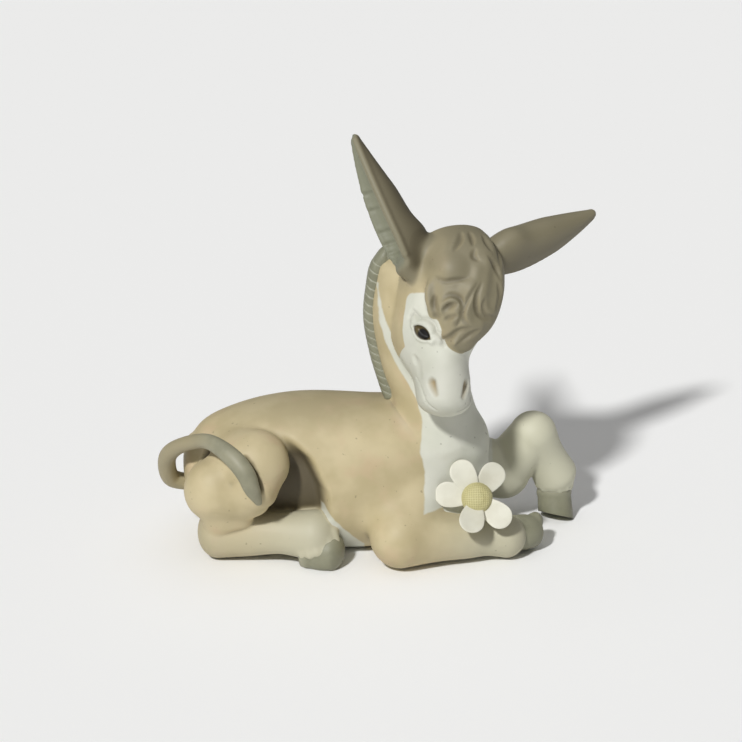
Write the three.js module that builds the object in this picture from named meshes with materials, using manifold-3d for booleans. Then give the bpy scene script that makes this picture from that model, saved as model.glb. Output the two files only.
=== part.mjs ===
// A porcelain donkey foal lying down with a daisy, as the set of cast pieces that are luted together
// before firing. Millimetres, +Z up. +X runs from rump to breast and +Y to the foal's left.
// The origin lies on the flat ground under the belly.
import * as THREE from "three";
import { mergeVertices } from "three/addons/utils/BufferGeometryUtils.js";
import Module from "manifold-3d";

const wasm = await Module();
wasm.setup();

// Driving sizes of the joints between cast pieces
const luteGap = 0.3;
const seatDepth = 3;

// Driving sizes of the trunk
const rumpReach = 68.5;
const breastReach = 39;
const barrelWidth = 51;
const barrelHeight = 53.6;
const bellyFlat = 1.2;
const ventRadius = 3.5;
const ventDepth = 14;
const ventSetback = 22;

// Driving sizes of the hind legs
const hipSetback = 23.5;
const thighGirth = 12.5;
const gaskinGirth = 13.3;
const hockGirth = 9.4;
const shankGirth = 7.4;
const hindFetlockGirth = 8.6;
const hindHoofGirth = 7.9;
const leftTuck = 2.6;

// Driving sizes of the forelegs
const elbowGirth = 11;
const forearmGirth = 6.6;
const foreFetlockGirth = 7.7;
const raisedKneeHeight = 31;
const kneeGirth = 8.5;
const cannonGirth = 7.2;
const raisedFetlockGirth = 7.9;
const foreHoofGirth = 6.2;
const raisedHoofGirth = 6.2;
const raisedHoofHeight = 11;

// Driving sizes of the neck and mane
const neckHeight = 97;
const neckDepth = 28.5;
const neckWidth = 26;
const maneHeight = 3.2;
const maneWidth = 6;
const maneNicks = 15;
const nickWidth = 0.7;
const nickDepth = 1.8;

// Driving sizes of the head
const headLength = 63;
const headWidth = 33.5;
const muzzleWidth = 19;
const cheekDepth = 38;
const headYaw = 15;
const headNod = 25;
const headRoll = 9;
const eyeRadius = 2.7;
const lidProud = 1.1;
const nostrilRadius = 2.1;
const forelockWidth = 27;
const forelockThickness = 6;
const curlWidth = 2.6;

// Driving sizes of the ears and tail
const earLength = 55.5;
const earWidth = 14;
const earDepth = 10.5;
const earWall = 2.2;
const earRim = 0.9;
const earBow = 2;
const tailGirth = 2.9;
const tailTipGirth = 1.5;

// Driving sizes of the daisy
const petalCount = 5;
const petalLength = 14.5;
const petalWidth = 10;
const petalThickness = 1.5;
const daisyEyeRadius = 5.3;
const daisyEyeHeight = 4.6;

const degree = Math.PI / 180;
const point = (x, y, z) => new THREE.Vector3(x, y, z);
const AHEAD = point(1, 0, 0);
const LEFT = point(0, 1, 0);
const UP = point(0, 0, 1);

// Solids

function solidOf(geometry) {
  const bare = new THREE.BufferGeometry().setAttribute("position", geometry.getAttribute("position"));
  if (geometry.index) bare.setIndex(geometry.index);
  const merged = mergeVertices(bare, 1e-4);
  return new wasm.Manifold(
    new wasm.Mesh({
      numProp: 3,
      vertProperties: merged.attributes.position.array,
      triVerts: new Uint32Array(merged.index.array),
    }),
  );
}

function geometryOf(solid) {
  const { vertProperties, triVerts } = solid.getMesh();
  const geometry = new THREE.BufferGeometry();
  geometry.setAttribute("position", new THREE.BufferAttribute(vertProperties, 3));
  geometry.setIndex(new THREE.BufferAttribute(triVerts, 1));
  const faceted = geometry.toNonIndexed();
  faceted.computeVertexNormals();
  return faceted;
}

const moved = (solid, matrix) => solid.transform(matrix.elements);
const joined = (solids) => solids.reduce((all, next) => all.add(next));
const without = (solid, others) => others.reduce((left, other) => left.subtract(other), solid);

// A closed skin of elliptical rings along a smooth spine. A station has its place, its half-size to the side,
// and its half-sizes towards and away from the spine's up direction, which is carried along the spine.
// Rings lie across the spine, or across one fixed direction where square gives it.
function loft(stations, { up = UP, square, sides = 12, steps = 2, startCap = 0, endCap = 0, grow = 0 }) {
  const spine = new THREE.CatmullRomCurve3(stations.map((s) => s.at));
  const girth = new THREE.CatmullRomCurve3(stations.map((s) => point(s.side, s.up, s.down ?? s.up)));
  const count = (stations.length - 1) * steps;
  const rings = [];
  let normal = up.clone();
  for (let i = 0; i <= count; i++) {
    const along = square ?? spine.getTangent(i / count);
    normal = normal.clone().addScaledVector(along, -normal.dot(along)).normalize();
    const side = new THREE.Vector3().crossVectors(along, normal);
    rings.push({ at: spine.getPoint(i / count), along, normal, side, girth: girth.getPoint(i / count) });
  }
  const capSteps = 3;
  const capped = (ring, length) =>
    Array.from({ length: capSteps }, (_, k) => {
      const turn = ((k + 1) / capSteps) * (Math.PI / 2);
      const at = ring.at.clone().addScaledVector(ring.along, length * Math.sin(turn));
      return { ...ring, at, share: Math.cos(turn) };
    });
  const first = rings[0];
  const last = rings[count];
  if (startCap) rings.unshift(...capped(first, -startCap - grow).reverse());
  if (endCap) rings.push(...capped(last, endCap + grow));
  return solidOf(skinOf(rings, sides, grow, Boolean(startCap), Boolean(endCap)));
}

// The triangles over a run of rings, closed at both ends by a fan to one point.
function skinOf(rings, sides, grow, startPole, endPole) {
  const bands = rings.slice(startPole ? 1 : 0, endPole ? rings.length - 1 : rings.length);
  const places = [];
  for (const { at, normal, side, girth, share = 1 } of bands) {
    for (let k = 0; k < sides; k++) {
      const turn = (k / sides) * 2 * Math.PI;
      const rise = Math.sin(turn) * ((Math.sin(turn) > 0 ? girth.y : girth.z) + grow) * share;
      const reach = Math.cos(turn) * (girth.x + grow) * share;
      places.push(at.clone().addScaledVector(side, reach).addScaledVector(normal, rise));
    }
  }
  const faces = [];
  for (let i = 0; i + 1 < bands.length; i++) {
    for (let k = 0; k < sides; k++) {
      const a = i * sides + k;
      const b = i * sides + ((k + 1) % sides);
      faces.push(a, a + sides, b, b, a + sides, b + sides);
    }
  }
  const startPoint = places.push(rings[0].at) - 1;
  const endPoint = places.push(rings[rings.length - 1].at) - 1;
  const lastBand = (bands.length - 1) * sides;
  for (let k = 0; k < sides; k++) {
    const next = (k + 1) % sides;
    faces.push(startPoint, k, next);
    faces.push(endPoint, lastBand + next, lastBand + k);
  }
  const geometry = new THREE.BufferGeometry().setFromPoints(places);
  geometry.setIndex(faces);
  return geometry;
}

// A piece's own solid, and the same a lute gap larger, which cuts the pieces that seat on it.
function form(stations, options) {
  return {
    solid: loft(stations, options),
    clear: loft(stations, { ...options, grow: luteGap }),
  };
}

const formOf = (forms) => ({
  solid: joined(forms.map((f) => f.solid)),
  clear: joined(forms.map((f) => f.clear)),
});

const placed = (made, matrix) => ({ solid: moved(made.solid, matrix), clear: moved(made.clear, matrix) });

const round = (at, girth) => ({ at, side: girth, up: girth });

const groundSize = 400;
const ground = solidOf(
  new THREE.BoxGeometry(groundSize, groundSize, groundSize).translate(0, 0, -groundSize / 2),
);

// Seats a form on its neighbours, with the lute gap all round, and grinds it flat at the ground.
const seated = (made, neighbours) => without(made.solid, [...neighbours.map((n) => n.clear), ground]);

// Trunk: a barrel with a full rump and a narrow breast

const flank = barrelWidth / 2;
const barrelHalf = (barrelHeight + bellyFlat) / 2;
const barrelMiddle = barrelHeight - barrelHalf;
const trunkX = (share) => -rumpReach + share * (rumpReach + breastReach);
const trunkStation = (share, width, height, lift = 0) => ({
  at: point(trunkX(share), 0, barrelMiddle + barrelHalf * lift),
  side: flank * width,
  up: barrelHalf * height,
});
const barrelForm = form(
  [
    trunkStation(0.06, 0.55, 0.56, -0.09),
    trunkStation(0.16, 0.84, 0.83, -0.04),
    trunkStation(0.37, 1, 1),
    trunkStation(0.62, 0.95, 0.99),
    trunkStation(0.78, 0.76, 0.96, 0.04),
    trunkStation(0.9, 0.52, 0.78, 0.07),
    trunkStation(0.96, 0.34, 0.5, 0.11),
  ],
  { sides: 22, steps: 2, startCap: rumpReach * 0.07, endCap: breastReach * 0.1 },
);

// A lobe of flesh is a straight loft with round ends.
function lobe(from, fromGirth, to, toGirth, up = UP) {
  return form([round(from, fromGirth), round(to, toGirth)], {
    up,
    sides: 11,
    steps: 1,
    startCap: fromGirth,
    endCap: toGirth,
  });
}

const breastForm = lobe(
  point(breastReach * 0.635, 0, barrelMiddle + barrelHalf * 0.39),
  flank * 0.57,
  point(breastReach * 0.59, -flank * 0.08, barrelMiddle - barrelHalf * 0.15),
  flank * 0.51,
  AHEAD,
);
const trunkForm = formOf([barrelForm, breastForm]);
const vent = solidOf(
  new THREE.CylinderGeometry(ventRadius, ventRadius, 2 * ventDepth, 24)
    .rotateX(90 * degree)
    .translate(-ventSetback, 0, 0),
);
const trunk = without(trunkForm.solid, [ground, vent]);

// Hind legs: thigh and gaskin lobes folded on each other, and the shank under them on the ground

const hipX = -rumpReach + hipSetback;

// A place on a hind leg: how far ahead of the hip and how far inside the flank, both in girths, how high,
// and how much of the tuck lowers it. The left leg is folded closer under the trunk than the right one.
function hindPlace(hand, girth, ahead, inset, height, tuck = 0) {
  const tucked = hand > 0 ? leftTuck : 0;
  return point(hipX + girth * ahead, hand * (flank - girth * inset - tucked), height - tuck * tucked);
}

function haunchForm(hand) {
  const place = (ahead, inset, lift) =>
    hindPlace(hand, thighGirth, ahead, inset, barrelMiddle + thighGirth * lift, 1.5);
  const hip = place(-0.48, 1.44, 0.64);
  const stifle = place(0.24, 0.34, 0.87);
  const knee = place(0.24, 0.02, 0.39);
  const buttock = place(-0.64, 0.44, 0);
  const shin = place(-0.08, 0.28, -0.24);
  const hock = hindPlace(hand, thighGirth, -0.6, 0.64, hockGirth * 1.4);
  return formOf([
    lobe(hip, thighGirth * 0.9, stifle, thighGirth * 0.96),
    lobe(stifle, thighGirth * 0.96, knee, thighGirth * 0.72, AHEAD),
    lobe(buttock, gaskinGirth, shin, gaskinGirth * 0.79),
    lobe(buttock, gaskinGirth * 0.97, hock, gaskinGirth * 0.72, AHEAD),
  ]);
}

function shankForm(hand) {
  const place = (ahead, inset, height) => hindPlace(hand, hockGirth, ahead, inset, height);
  return form(
    [
      round(place(-1.06, 1.12, hockGirth), hockGirth),
      round(place(0.11, 0.96, hockGirth * 1.03), (hockGirth + shankGirth) / 2),
      round(place(1.49, 0.53, hockGirth * 1.09), shankGirth),
      round(place(2.29, 0, hindFetlockGirth * 1.26), hindFetlockGirth),
    ],
    { startCap: hockGirth * 0.75, endCap: hindFetlockGirth * 0.95 },
  );
}

function hindHoofForm(hand) {
  const place = (ahead, inset, height) => hindPlace(hand, hindHoofGirth, ahead, inset, height);
  return form(
    [
      round(place(2.66, 0.06, hindHoofGirth), hindHoofGirth * 0.95),
      round(place(3.1, -0.15, hindHoofGirth * 0.75), hindHoofGirth * 0.98),
      round(place(3.48, -0.3, hindHoofGirth * 0.6), hindHoofGirth * 0.84),
    ],
    { endCap: hindHoofGirth * 0.5 },
  );
}

const hands = { right: -1, left: 1 };
const hind = {};
for (const [name, hand] of Object.entries(hands)) {
  const haunch = haunchForm(hand);
  const shank = shankForm(hand);
  const hoof = hindHoofForm(hand);
  hind[name] = {
    haunch: seated(haunch, [trunkForm]),
    haunchForm: haunch,
    shank: seated(shank, [trunkForm, haunch]),
    hoof: seated(hoof, [trunkForm, haunch, shank]),
  };
}

// Right foreleg: upper arm at the shoulder, forearm along the ground, hoof tucked behind the fetlock

const elbow = point(breastReach - elbowGirth * 2.82, -flank + elbowGirth * 0.136, elbowGirth);
const foreFetlock = point(breastReach + elbowGirth * 0.455, -flank + elbowGirth * 0.91, foreFetlockGirth);
const armPlace = (ahead, aside, lift) =>
  point(elbow.x + elbowGirth * ahead, elbow.y + elbowGirth * aside, elbow.z + elbowGirth * lift);
const forearmPlace = (share, height) => elbow.clone().lerp(foreFetlock, share).setZ(height);
const rightForeForm = formOf([
  lobe(armPlace(-0.55, 1, 0.73), elbowGirth * 1.15, armPlace(0.18, 0.82, 0.55), elbowGirth * 1.15),
  form(
    [
      {
        at: armPlace(0.55, 1.18, 0).setZ(barrelMiddle + elbowGirth * 0.36),
        side: elbowGirth,
        up: elbowGirth * 0.7,
      },
      { at: armPlace(0.27, 0.55, 0.82), side: elbowGirth, up: elbowGirth * 0.75 },
      round(elbow, elbowGirth),
    ],
    { up: LEFT, startCap: elbowGirth * 0.8, endCap: elbowGirth * 0.95 },
  ),
  form(
    [
      round(elbow, elbowGirth * 0.98),
      round(forearmPlace(0.35, elbowGirth * 0.8), elbowGirth * 0.82),
      round(forearmPlace(0.64, forearmGirth * 1.14), (elbowGirth + 3 * forearmGirth) / 4),
      round(forearmPlace(0.82, forearmGirth * 1.12), forearmGirth),
      round(foreFetlock, foreFetlockGirth),
    ],
    { startCap: elbowGirth * 0.95, endCap: foreFetlockGirth * 0.95 },
  ),
]);
const foreHoofPlace = (ahead, aside, drop) =>
  foreFetlock.clone().add(point(ahead, aside, -drop).multiplyScalar(foreHoofGirth));
const rightForeHoofForm = form(
  [
    round(foreHoofPlace(0.16, 0.4, 0.065), foreHoofGirth * 0.95),
    round(foreHoofPlace(1.05, 0.89, 0.16), foreHoofGirth),
    round(foreHoofPlace(1.58, 1.29, 0.32), foreHoofGirth * 0.88),
  ],
  { endCap: foreHoofGirth * 0.25 },
);

// Left foreleg: raised, with the knee up and the hoof set down on its outer edge

const raisedPlace = (ahead, inset, height) =>
  point(breastReach + kneeGirth * ahead, flank - kneeGirth * inset, height);
const raisedShoulder = raisedPlace(-1.65, 1.76, barrelMiddle);
const raisedElbow = raisedPlace(0.59, 1.35, barrelMiddle - kneeGirth * 0.82);
const raisedKnee = raisedPlace(1.87, 0.71, raisedKneeHeight);
const raisedFetlock = raisedPlace(2.75, 0.65, raisedHoofHeight + kneeGirth * 0.56);
const leftForeForm = formOf([
  lobe(raisedShoulder, kneeGirth * 1.32, raisedElbow, kneeGirth * 1.11),
  lobe(raisedElbow, kneeGirth * 1.07, raisedKnee, kneeGirth, LEFT),
  form(
    [
      round(raisedKnee, kneeGirth),
      round(raisedKnee.clone().lerp(raisedFetlock, 0.5), cannonGirth),
      round(raisedFetlock, raisedFetlockGirth),
    ],
    { up: LEFT, startCap: kneeGirth, endCap: raisedFetlockGirth * 0.8 },
  ),
]);
const hoofTop = raisedPlace(2.73, 0.59, raisedHoofHeight);
const hoofSole = raisedPlace(2.81, 0.96, raisedHoofHeight * 0.12);
const leftForeHoofForm = form(
  [
    round(hoofTop, raisedHoofGirth * 0.97),
    round(hoofTop.clone().lerp(hoofSole, 0.55), raisedHoofGirth),
    round(hoofSole, raisedHoofGirth * 1.03),
  ],
  { up: AHEAD, square: point(-0.2, -0.35, -0.9).normalize() },
);

// Neck and mane

const neckX = breastReach - neckDepth * 0.842;
const neckStation = (ahead, aside, height, width, back, front) => ({
  at: point(neckX + neckDepth * ahead, neckDepth * aside, height),
  side: neckWidth * width,
  up: neckDepth * back,
  down: neckDepth * front,
});
const neckStations = [
  neckStation(0.193, 0, barrelHeight - neckDepth * 0.49, 0.66, 0.57, 0.56),
  neckStation(0.168, 0, barrelHeight + neckDepth * 0.105, 0.57, 0.48, 0.41),
  neckStation(0.018, 0.035, barrelHeight + neckDepth * 0.56, 0.52, 0.47, 0.4),
  neckStation(-0.105, 0.088, neckHeight - neckDepth * 0.456, 0.5, 0.5, 0.46),
  neckStation(-0.035, 0.14, neckHeight, 0.48, 0.5, 0.43),
];
const BACK = AHEAD.clone().negate();
const neckForm = form(neckStations, {
  up: BACK,
  sides: 16,
  startCap: neckDepth * 0.28,
  endCap: neckDepth * 0.25,
});

// The crest of the mane follows the back of the neck, a share of the way up it.
function crestAt(share, proud) {
  const spine = new THREE.CatmullRomCurve3(neckStations.map((s) => s.at));
  const depth = new THREE.CatmullRomCurve3(neckStations.map((s) => point(s.up, 0, 0)));
  const along = spine.getTangent(share);
  const back = BACK.clone().addScaledVector(along, -BACK.dot(along)).normalize();
  return { at: spine.getPoint(share).addScaledVector(back, depth.getPoint(share).x + proud), along, back };
}

const crestShares = [0.27, 0.42, 0.58, 0.74, 0.88, 1];
const maneForm = form(
  crestShares.map((share) => ({
    at: crestAt(share, 0).at,
    side: maneWidth / 2,
    up: maneHeight,
    down: seatDepth,
  })),
  { up: BACK, sides: 7, startCap: maneHeight * 0.7, endCap: maneHeight * 1.5 },
);

function maneNick(k) {
  const share = 0.34 + (0.6 * k) / (maneNicks - 1);
  const { at, along, back } = crestAt(share, maneHeight);
  const across = new THREE.Vector3().crossVectors(back, along);
  const frame = new THREE.Matrix4().makeBasis(across, back, along).setPosition(at);
  return solidOf(new THREE.BoxGeometry(2 * maneWidth, 2 * nickDepth, nickWidth).applyMatrix4(frame));
}

// Head, in its own frame: x to the foal's left, -y out of the face, +z to the crown, origin at the poll

const headGroup = new THREE.Group();
headGroup.position.set(
  breastReach - neckDepth * 0.509,
  -neckDepth * 0.105,
  neckHeight + neckDepth * 0.333,
);
headGroup.rotation.set(-headNod * degree, headRoll * degree, headYaw * degree, "ZXY");
headGroup.updateMatrix();
const headFrame = headGroup.matrix.clone();
const intoHead = headFrame.clone().invert();

const FACE = point(0, -1, 0);
const headHalf = headWidth / 2;
const muzzleHalf = muzzleWidth / 2;
const faceDepth = cheekDepth * 0.33;
const crown = headLength * 0.125;
const headZ = (share) => crown - share * headLength;

// A slice across the head: its half-width, how far its widest part sits behind the brow line, how far
// it reaches to the front and to the back of that line, all three in cheek depths, and its lean aside.
const headSlice = (share, half, middle, front, back, aside = 0) => ({
  at: point(headHalf * aside, cheekDepth * middle, headZ(share)),
  side: half,
  up: cheekDepth * (front + middle),
  down: cheekDepth * (back - middle),
});
const headForm = form(
  [
    headSlice(0.1, headHalf * 0.7, 0.132, 0.198, 0.44),
    headSlice(0.22, headHalf * 0.94, 0.158, 0.314, 0.56),
    headSlice(0.4, headHalf, 0.24, 0.347, 0.66),
    headSlice(0.56, headHalf * 0.95, 0.24, 0.337, 0.66, -0.05),
    headSlice(0.68, headHalf * 0.74, 0.184, 0.32, 0.56, -0.08),
    headSlice(0.8, muzzleHalf * 1.02, 0.053, 0.29, 0.36, -0.04),
    headSlice(0.91, muzzleHalf * 0.98, 0, 0.277, 0.24),
  ],
  { up: FACE, square: UP.clone().negate(), sides: 18, startCap: headLength * 0.1, endCap: headLength * 0.09 },
);
// Each eye is a ball sunk in the brow, under a lid that stands a little proud of the cheek.
const eyePlace = (hand) => point(hand * headHalf * 0.61, -faceDepth * 0.61, headZ(0.565));
const ball = (radius, place, stretch = 1) =>
  solidOf(new THREE.SphereGeometry(radius, 10, 7).scale(stretch, 1, 1).translate(place.x, place.y, place.z));
const eyeOut = (hand) => point(hand * 0.62, -0.78, 0);
const eyeAt = (hand, proud) => eyePlace(hand).addScaledVector(eyeOut(hand), proud);
const lidBall = (hand, grow) => ball(eyeRadius * 1.3 + grow, eyeAt(hand, lidProud - eyeRadius));
const eyeLid = (hand) => lidBall(hand, 0);
const eyeLidClear = (hand) => lidBall(hand, luteGap);
const eyeSocket = (hand) => ball(eyeRadius, eyeAt(hand, lidProud), 1.1);
const eyeBall = (hand) => ball(eyeRadius * 1.05, eyeAt(hand, -eyeRadius * 0.75));
const nostril = (hand) =>
  solidOf(
    new THREE.SphereGeometry(nostrilRadius, 8, 6)
      .scale(0.8, 1, 1.5)
      .translate(hand * muzzleHalf * 0.54, -faceDepth * 0.74, headZ(0.86)),
  );

// Forelock: a thick cap of hair over the brow with carved locks curling on it

const browAt = (share) => {
  const short = Math.min(1, (0.16 - Math.min(share, 0.16)) / 0.2);
  return -faceDepth * Math.sqrt(1 - short ** 2);
};
const capStation = (aside, share, proud, width, thickness, depth) => ({
  at: point(forelockWidth * aside, browAt(share) - forelockThickness * proud, headZ(share)),
  side: forelockWidth * width,
  up: forelockThickness * thickness,
  down: seatDepth * depth,
});
const capShares = [0.035, 0.14, 0.28, 0.46, 0.6];
const capStations = [
  capStation(0.03, capShares[0], -1.5, 0.41, 0.8, 3.5),
  capStation(0.08, capShares[1], -0.5, 0.47, 1, 4),
  capStation(0.14, capShares[2], -0.08, 0.47, 1, 3),
  capStation(0.13, capShares[3], -0.08, 0.41, 1, 2),
  capStation(0.045, capShares[4], -0.17, 0.2, 0.6, 1.2),
];
const capEnd = forelockWidth * 0.15;
const forelockCap = form(capStations, { up: FACE, startCap: capEnd, endCap: capEnd });

// A place in the skin of the cap, aside in forelock widths and a share of the way down the head.
function onCap([aside, share]) {
  const next = capShares.findIndex((s, k) => k > 0 && (s >= share || k === capShares.length - 1));
  const [before, after] = [capStations[next - 1], capStations[next]];
  const run = Math.min(1, (share - capShares[next - 1]) / (capShares[next] - capShares[next - 1]));
  const middle = before.at.clone().lerp(after.at, run);
  const half = THREE.MathUtils.lerp(before.side, after.side, run);
  const lift = THREE.MathUtils.lerp(before.up, after.up, run);
  const off = Math.min(1, Math.abs(forelockWidth * aside - middle.x) / half);
  return point(forelockWidth * aside, middle.y - lift * Math.sqrt(1 - off ** 2), headZ(share));
}

// A lock of hair is a tapering roll along a line over the brow, half sunk in the cap.
function lock(line, start, end) {
  const run = line.map((place, k) => {
    const girth = curlWidth * THREE.MathUtils.lerp(start, end, k / (line.length - 1));
    return round(onCap(place).addScaledVector(FACE, -girth * 0.3), girth);
  });
  return loft(run, { up: FACE, sides: 6, steps: 1, startCap: curlWidth * start, endCap: curlWidth * end });
}
const locks = [
  lock([[-0.3, 0.3], [-0.31, 0.38], [-0.26, 0.46]], 0.6, 0.7),
  lock([[-0.2, 0.45], [-0.1, 0.392], [-0.04, 0.43], [-0.06, 0.5]], 0.6, 0.7),
  lock([[0.2, 0.22], [0.15, 0.33], [0.08, 0.44], [0.11, 0.5]], 0.9, 0.8),
  lock([[0.31, 0.19], [0.28, 0.315], [0.26, 0.41], [0.39, 0.45]], 0.95, 0.7),
  lock([[0.48, 0.236], [0.5, 0.35], [0.43, 0.435]], 0.75, 0.6),
  lock([[0.26, 0.51], [0.06, 0.53], [-0.18, 0.585]], 0.9, 0.35),
  lock([[0.37, 0.515], [0.18, 0.575], [-0.02, 0.62]], 0.9, 0.45),
];

// Ears: long leaves that open to one side, hollowed between their rims. Each section of the leaf is given
// by how far along it lies, how wide and how deep it is, and how far it is hollowed.
const earLeaf = [
  [0, 0.3, 0.3, 0],
  [0.09, 0.75, 0.8, 0],
  [0.16, 1, 1.12, 0.3],
  [0.26, 1.09, 1.24, 0.55],
  [0.4, 0.98, 1.02, 0.55],
  [0.58, 0.83, 0.86, 0.55],
  [0.7, 0.67, 0.67, 0.5],
  [0.84, 0.44, 0.42, 0.5],
  [0.95, 0.25, 0.22, 0.5],
];

function earForm(base, reach, opening) {
  const axis = reach.clone().normalize();
  const open = opening.clone().addScaledVector(axis, -opening.dot(axis)).normalize();
  const middle = (share) =>
    base
      .clone()
      .addScaledVector(axis, share * earLength)
      .addScaledVector(open, earBow * Math.sin(Math.PI * share));
  const leaf = earLeaf.map(([share, wide, deep]) => ({
    at: middle(share),
    side: (earWidth / 2) * wide,
    up: earRim,
    down: earDepth * deep,
  }));
  const scoop = earLeaf
    .filter(([, , , hollow]) => hollow > 0)
    .map(([share, wide, deep, hollow]) => ({
      at: middle(share),
      side: Math.max((earWidth / 2) * wide - earWall * 0.75, earWall * 0.2),
      up: earDepth,
      down: Math.max((earDepth * deep - earWall) * hollow, earWall * 0.2),
    }));
  const made = form(leaf, { up: open, sides: 12, steps: 1, startCap: earWall * 0.7, endCap: earWall });
  const hollow = loft(scoop, { up: open, sides: 12, steps: 1, startCap: earWall, endCap: earWall * 0.5 });
  return { solid: made.solid.subtract(hollow), clear: made.clear };
}
const rightEarForm = earForm(
  point(-headHalf * 0.73, -faceDepth * 0.4, headZ(0.287)),
  point(-0.414, 0.108, 0.904),
  point(-0.912, -0.172, -0.372),
);
const leftEarForm = earForm(
  point(headHalf * 0.55, faceDepth * 0.28, headZ(0.18)),
  point(0.856, 0.28, 0.435),
  point(0, 0.9, -0.45),
);

// Pieces of the head are seated on each other in the head's own frame

const neckAtHead = placed(neckForm, intoHead);
const bothSides = (make) => Object.values(hands).map(make);
const lidded = joined([headForm.solid, ...bothSides(eyeLid)]);
const hollowed = without(lidded, [...bothSides(eyeSocket), ...bothSides(nostril)]);
const head = without(joined([hollowed, ...bothSides(eyeBall)]), [neckAtHead.clear]);
const rightEar = without(rightEarForm.solid, [headForm.clear, neckAtHead.clear]);
const leftEar = without(leftEarForm.solid, [headForm.clear, neckAtHead.clear]);
const forelock = without(joined([forelockCap.solid, ...locks]), [
  headForm.clear,
  ...bothSides(eyeLidClear),
  rightEarForm.clear,
  leftEarForm.clear,
]);

const headOnNeck = placed(headForm, headFrame);
const mane = without(maneForm.solid, [
  neckForm.clear,
  trunkForm.clear,
  headOnNeck.clear,
  placed(rightEarForm, headFrame).clear,
  placed(leftEarForm, headFrame).clear,
  ...Array.from({ length: maneNicks }, (_, k) => maneNick(k)),
]);
const neck = seated(neckForm, [trunkForm]);

// Forelegs are seated once the neck is in place

const rightForeleg = seated(rightForeForm, [trunkForm, neckForm]);
const rightForeHoof = seated(rightForeHoofForm, [rightForeForm, trunkForm]);
const leftForeleg = seated(leftForeForm, [trunkForm, neckForm]);
const leftForeHoof = seated(leftForeHoofForm, [leftForeForm]);

// Tail: rises from the rump, loops out over the right haunch and rests its tip there

const tailStation = (from, ahead, aside, lift, girth) =>
  round(point(from + flank * ahead, -flank * aside, barrelMiddle + barrelHalf * lift), girth);
const tailForm = form(
  [
    tailStation(-rumpReach, 0.118, 0, -0.182, tailGirth),
    tailStation(-rumpReach, -0.125, 0.078, -0.073, tailGirth * 1.08),
    tailStation(-rumpReach, -0.149, 0.314, 0.292, tailGirth * 1.05),
    tailStation(-rumpReach, 0.059, 0.608, 0.566, tailGirth * 0.9),
    tailStation(hipX, -0.51, 0.941, 0.748, tailGirth * 0.9),
    tailStation(hipX, -0.196, 1.235, 0.675, tailGirth * 1.1),
    tailStation(hipX, 0, 1.392, 0.511, tailGirth * 1.12),
    tailStation(hipX, 0.098, 1.412, 0.292, tailGirth * 0.95),
    tailStation(hipX, 0.176, 1.275, 0.073, tailTipGirth),
  ],
  { up: LEFT, sides: 9, steps: 3, endCap: tailTipGirth },
);
const tail = without(tailForm.solid, [trunkForm.clear, hind.right.haunchForm.clear]);

// Daisy, in its own frame: x to the right of the flower as it faces out along -y

const daisyGroup = new THREE.Group();
daisyGroup.position.copy(foreFetlock).add(point(-0.69, -0.38, 1.15).multiplyScalar(petalLength));
daisyGroup.rotation.set(-22 * degree, 0, 3 * degree, "ZXY");
daisyGroup.updateMatrix();
const intoDaisy = daisyGroup.matrix.clone().invert();

function petalOutline(grow) {
  const half = petalWidth / 2 + grow;
  const length = petalLength + grow;
  const root = petalLength * 0.14 - grow;
  const shape = new THREE.Shape();
  shape.moveTo(-half * 0.6, root);
  shape.bezierCurveTo(-half * 0.76, length * 0.36, -half * 1.02, length * 0.5, -half, length * 0.7);
  shape.bezierCurveTo(-half * 0.92, length * 1.1, half * 0.92, length * 1.1, half, length * 0.7);
  shape.bezierCurveTo(half * 1.02, length * 0.5, half * 0.76, length * 0.36, half * 0.6, root);
  return shape;
}

function petalSolid(turn, lean, grow) {
  const thickness = petalThickness + 2 * grow;
  const geometry = new THREE.ExtrudeGeometry(petalOutline(grow), {
    depth: thickness * 0.5,
    bevelThickness: thickness * 0.25,
    bevelSize: thickness * 0.25,
    bevelOffset: -thickness * 0.25,
    bevelSegments: 1,
    curveSegments: 6,
  });
  geometry.translate(0, 0, -thickness * 0.25);
  return solidOf(geometry.rotateX(lean * degree).rotateZ(turn * degree).rotateX(90 * degree));
}

// The eye of the daisy is a domed button, with a peg behind it that stands on the foreleg.
const pegRadius = daisyEyeRadius * 0.45;
const daisyProfile = [
  [0, -0.65],
  [pegRadius, -0.65],
  [daisyEyeRadius * 0.8, -0.2],
  [daisyEyeRadius, 0.13],
  [daisyEyeRadius * 0.96, 0.4],
  [daisyEyeRadius * 0.76, 0.74],
  [daisyEyeRadius * 0.42, 0.94],
  [0, 1],
];
function button(grow) {
  const profile = daisyProfile.map(
    ([r, h]) => new THREE.Vector2(r ? r + grow : 0, daisyEyeHeight * h + Math.sign(h) * grow),
  );
  return solidOf(new THREE.LatheGeometry(profile, 20).rotateX(180 * degree));
}
const legAtDaisy = placed(rightForeForm, intoDaisy);
const pegFoot = foreFetlock.clone().lerp(elbow, 0.3).applyMatrix4(intoDaisy);
const peg = form([round(point(0, pegRadius * 0.4, 0), pegRadius), round(pegFoot, pegRadius * 1.15)], {
  sides: 10,
  steps: 1,
  startCap: pegRadius * 0.4,
  endCap: pegRadius * 0.4,
});
const daisyEye = without(joined([button(0), peg.solid]), [legAtDaisy.clear]);
const daisyEyeClear = joined([button(luteGap), peg.clear]);

// Petals lie round the eye in the order they were laid, each cut to clear the foal and the ones before it.
const petalTurns = [-50, 29, 83, 163, 236];
const petalLeans = [-12, -6, -6, 35, 14];
const foalAtDaisy = [trunkForm, neckForm, leftForeForm].map((made) => placed(made, intoDaisy).clear);
const petals = [];
petalTurns.slice(0, petalCount).forEach((turn, k) => {
  const laid = petalTurns.slice(0, k).map((other, j) => petalSolid(other, petalLeans[j], luteGap));
  const around = [daisyEyeClear, legAtDaisy.clear, ...foalAtDaisy, ...laid];
  petals.push(without(petalSolid(turn, petalLeans[k], 0), around));
});

// Looks

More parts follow.
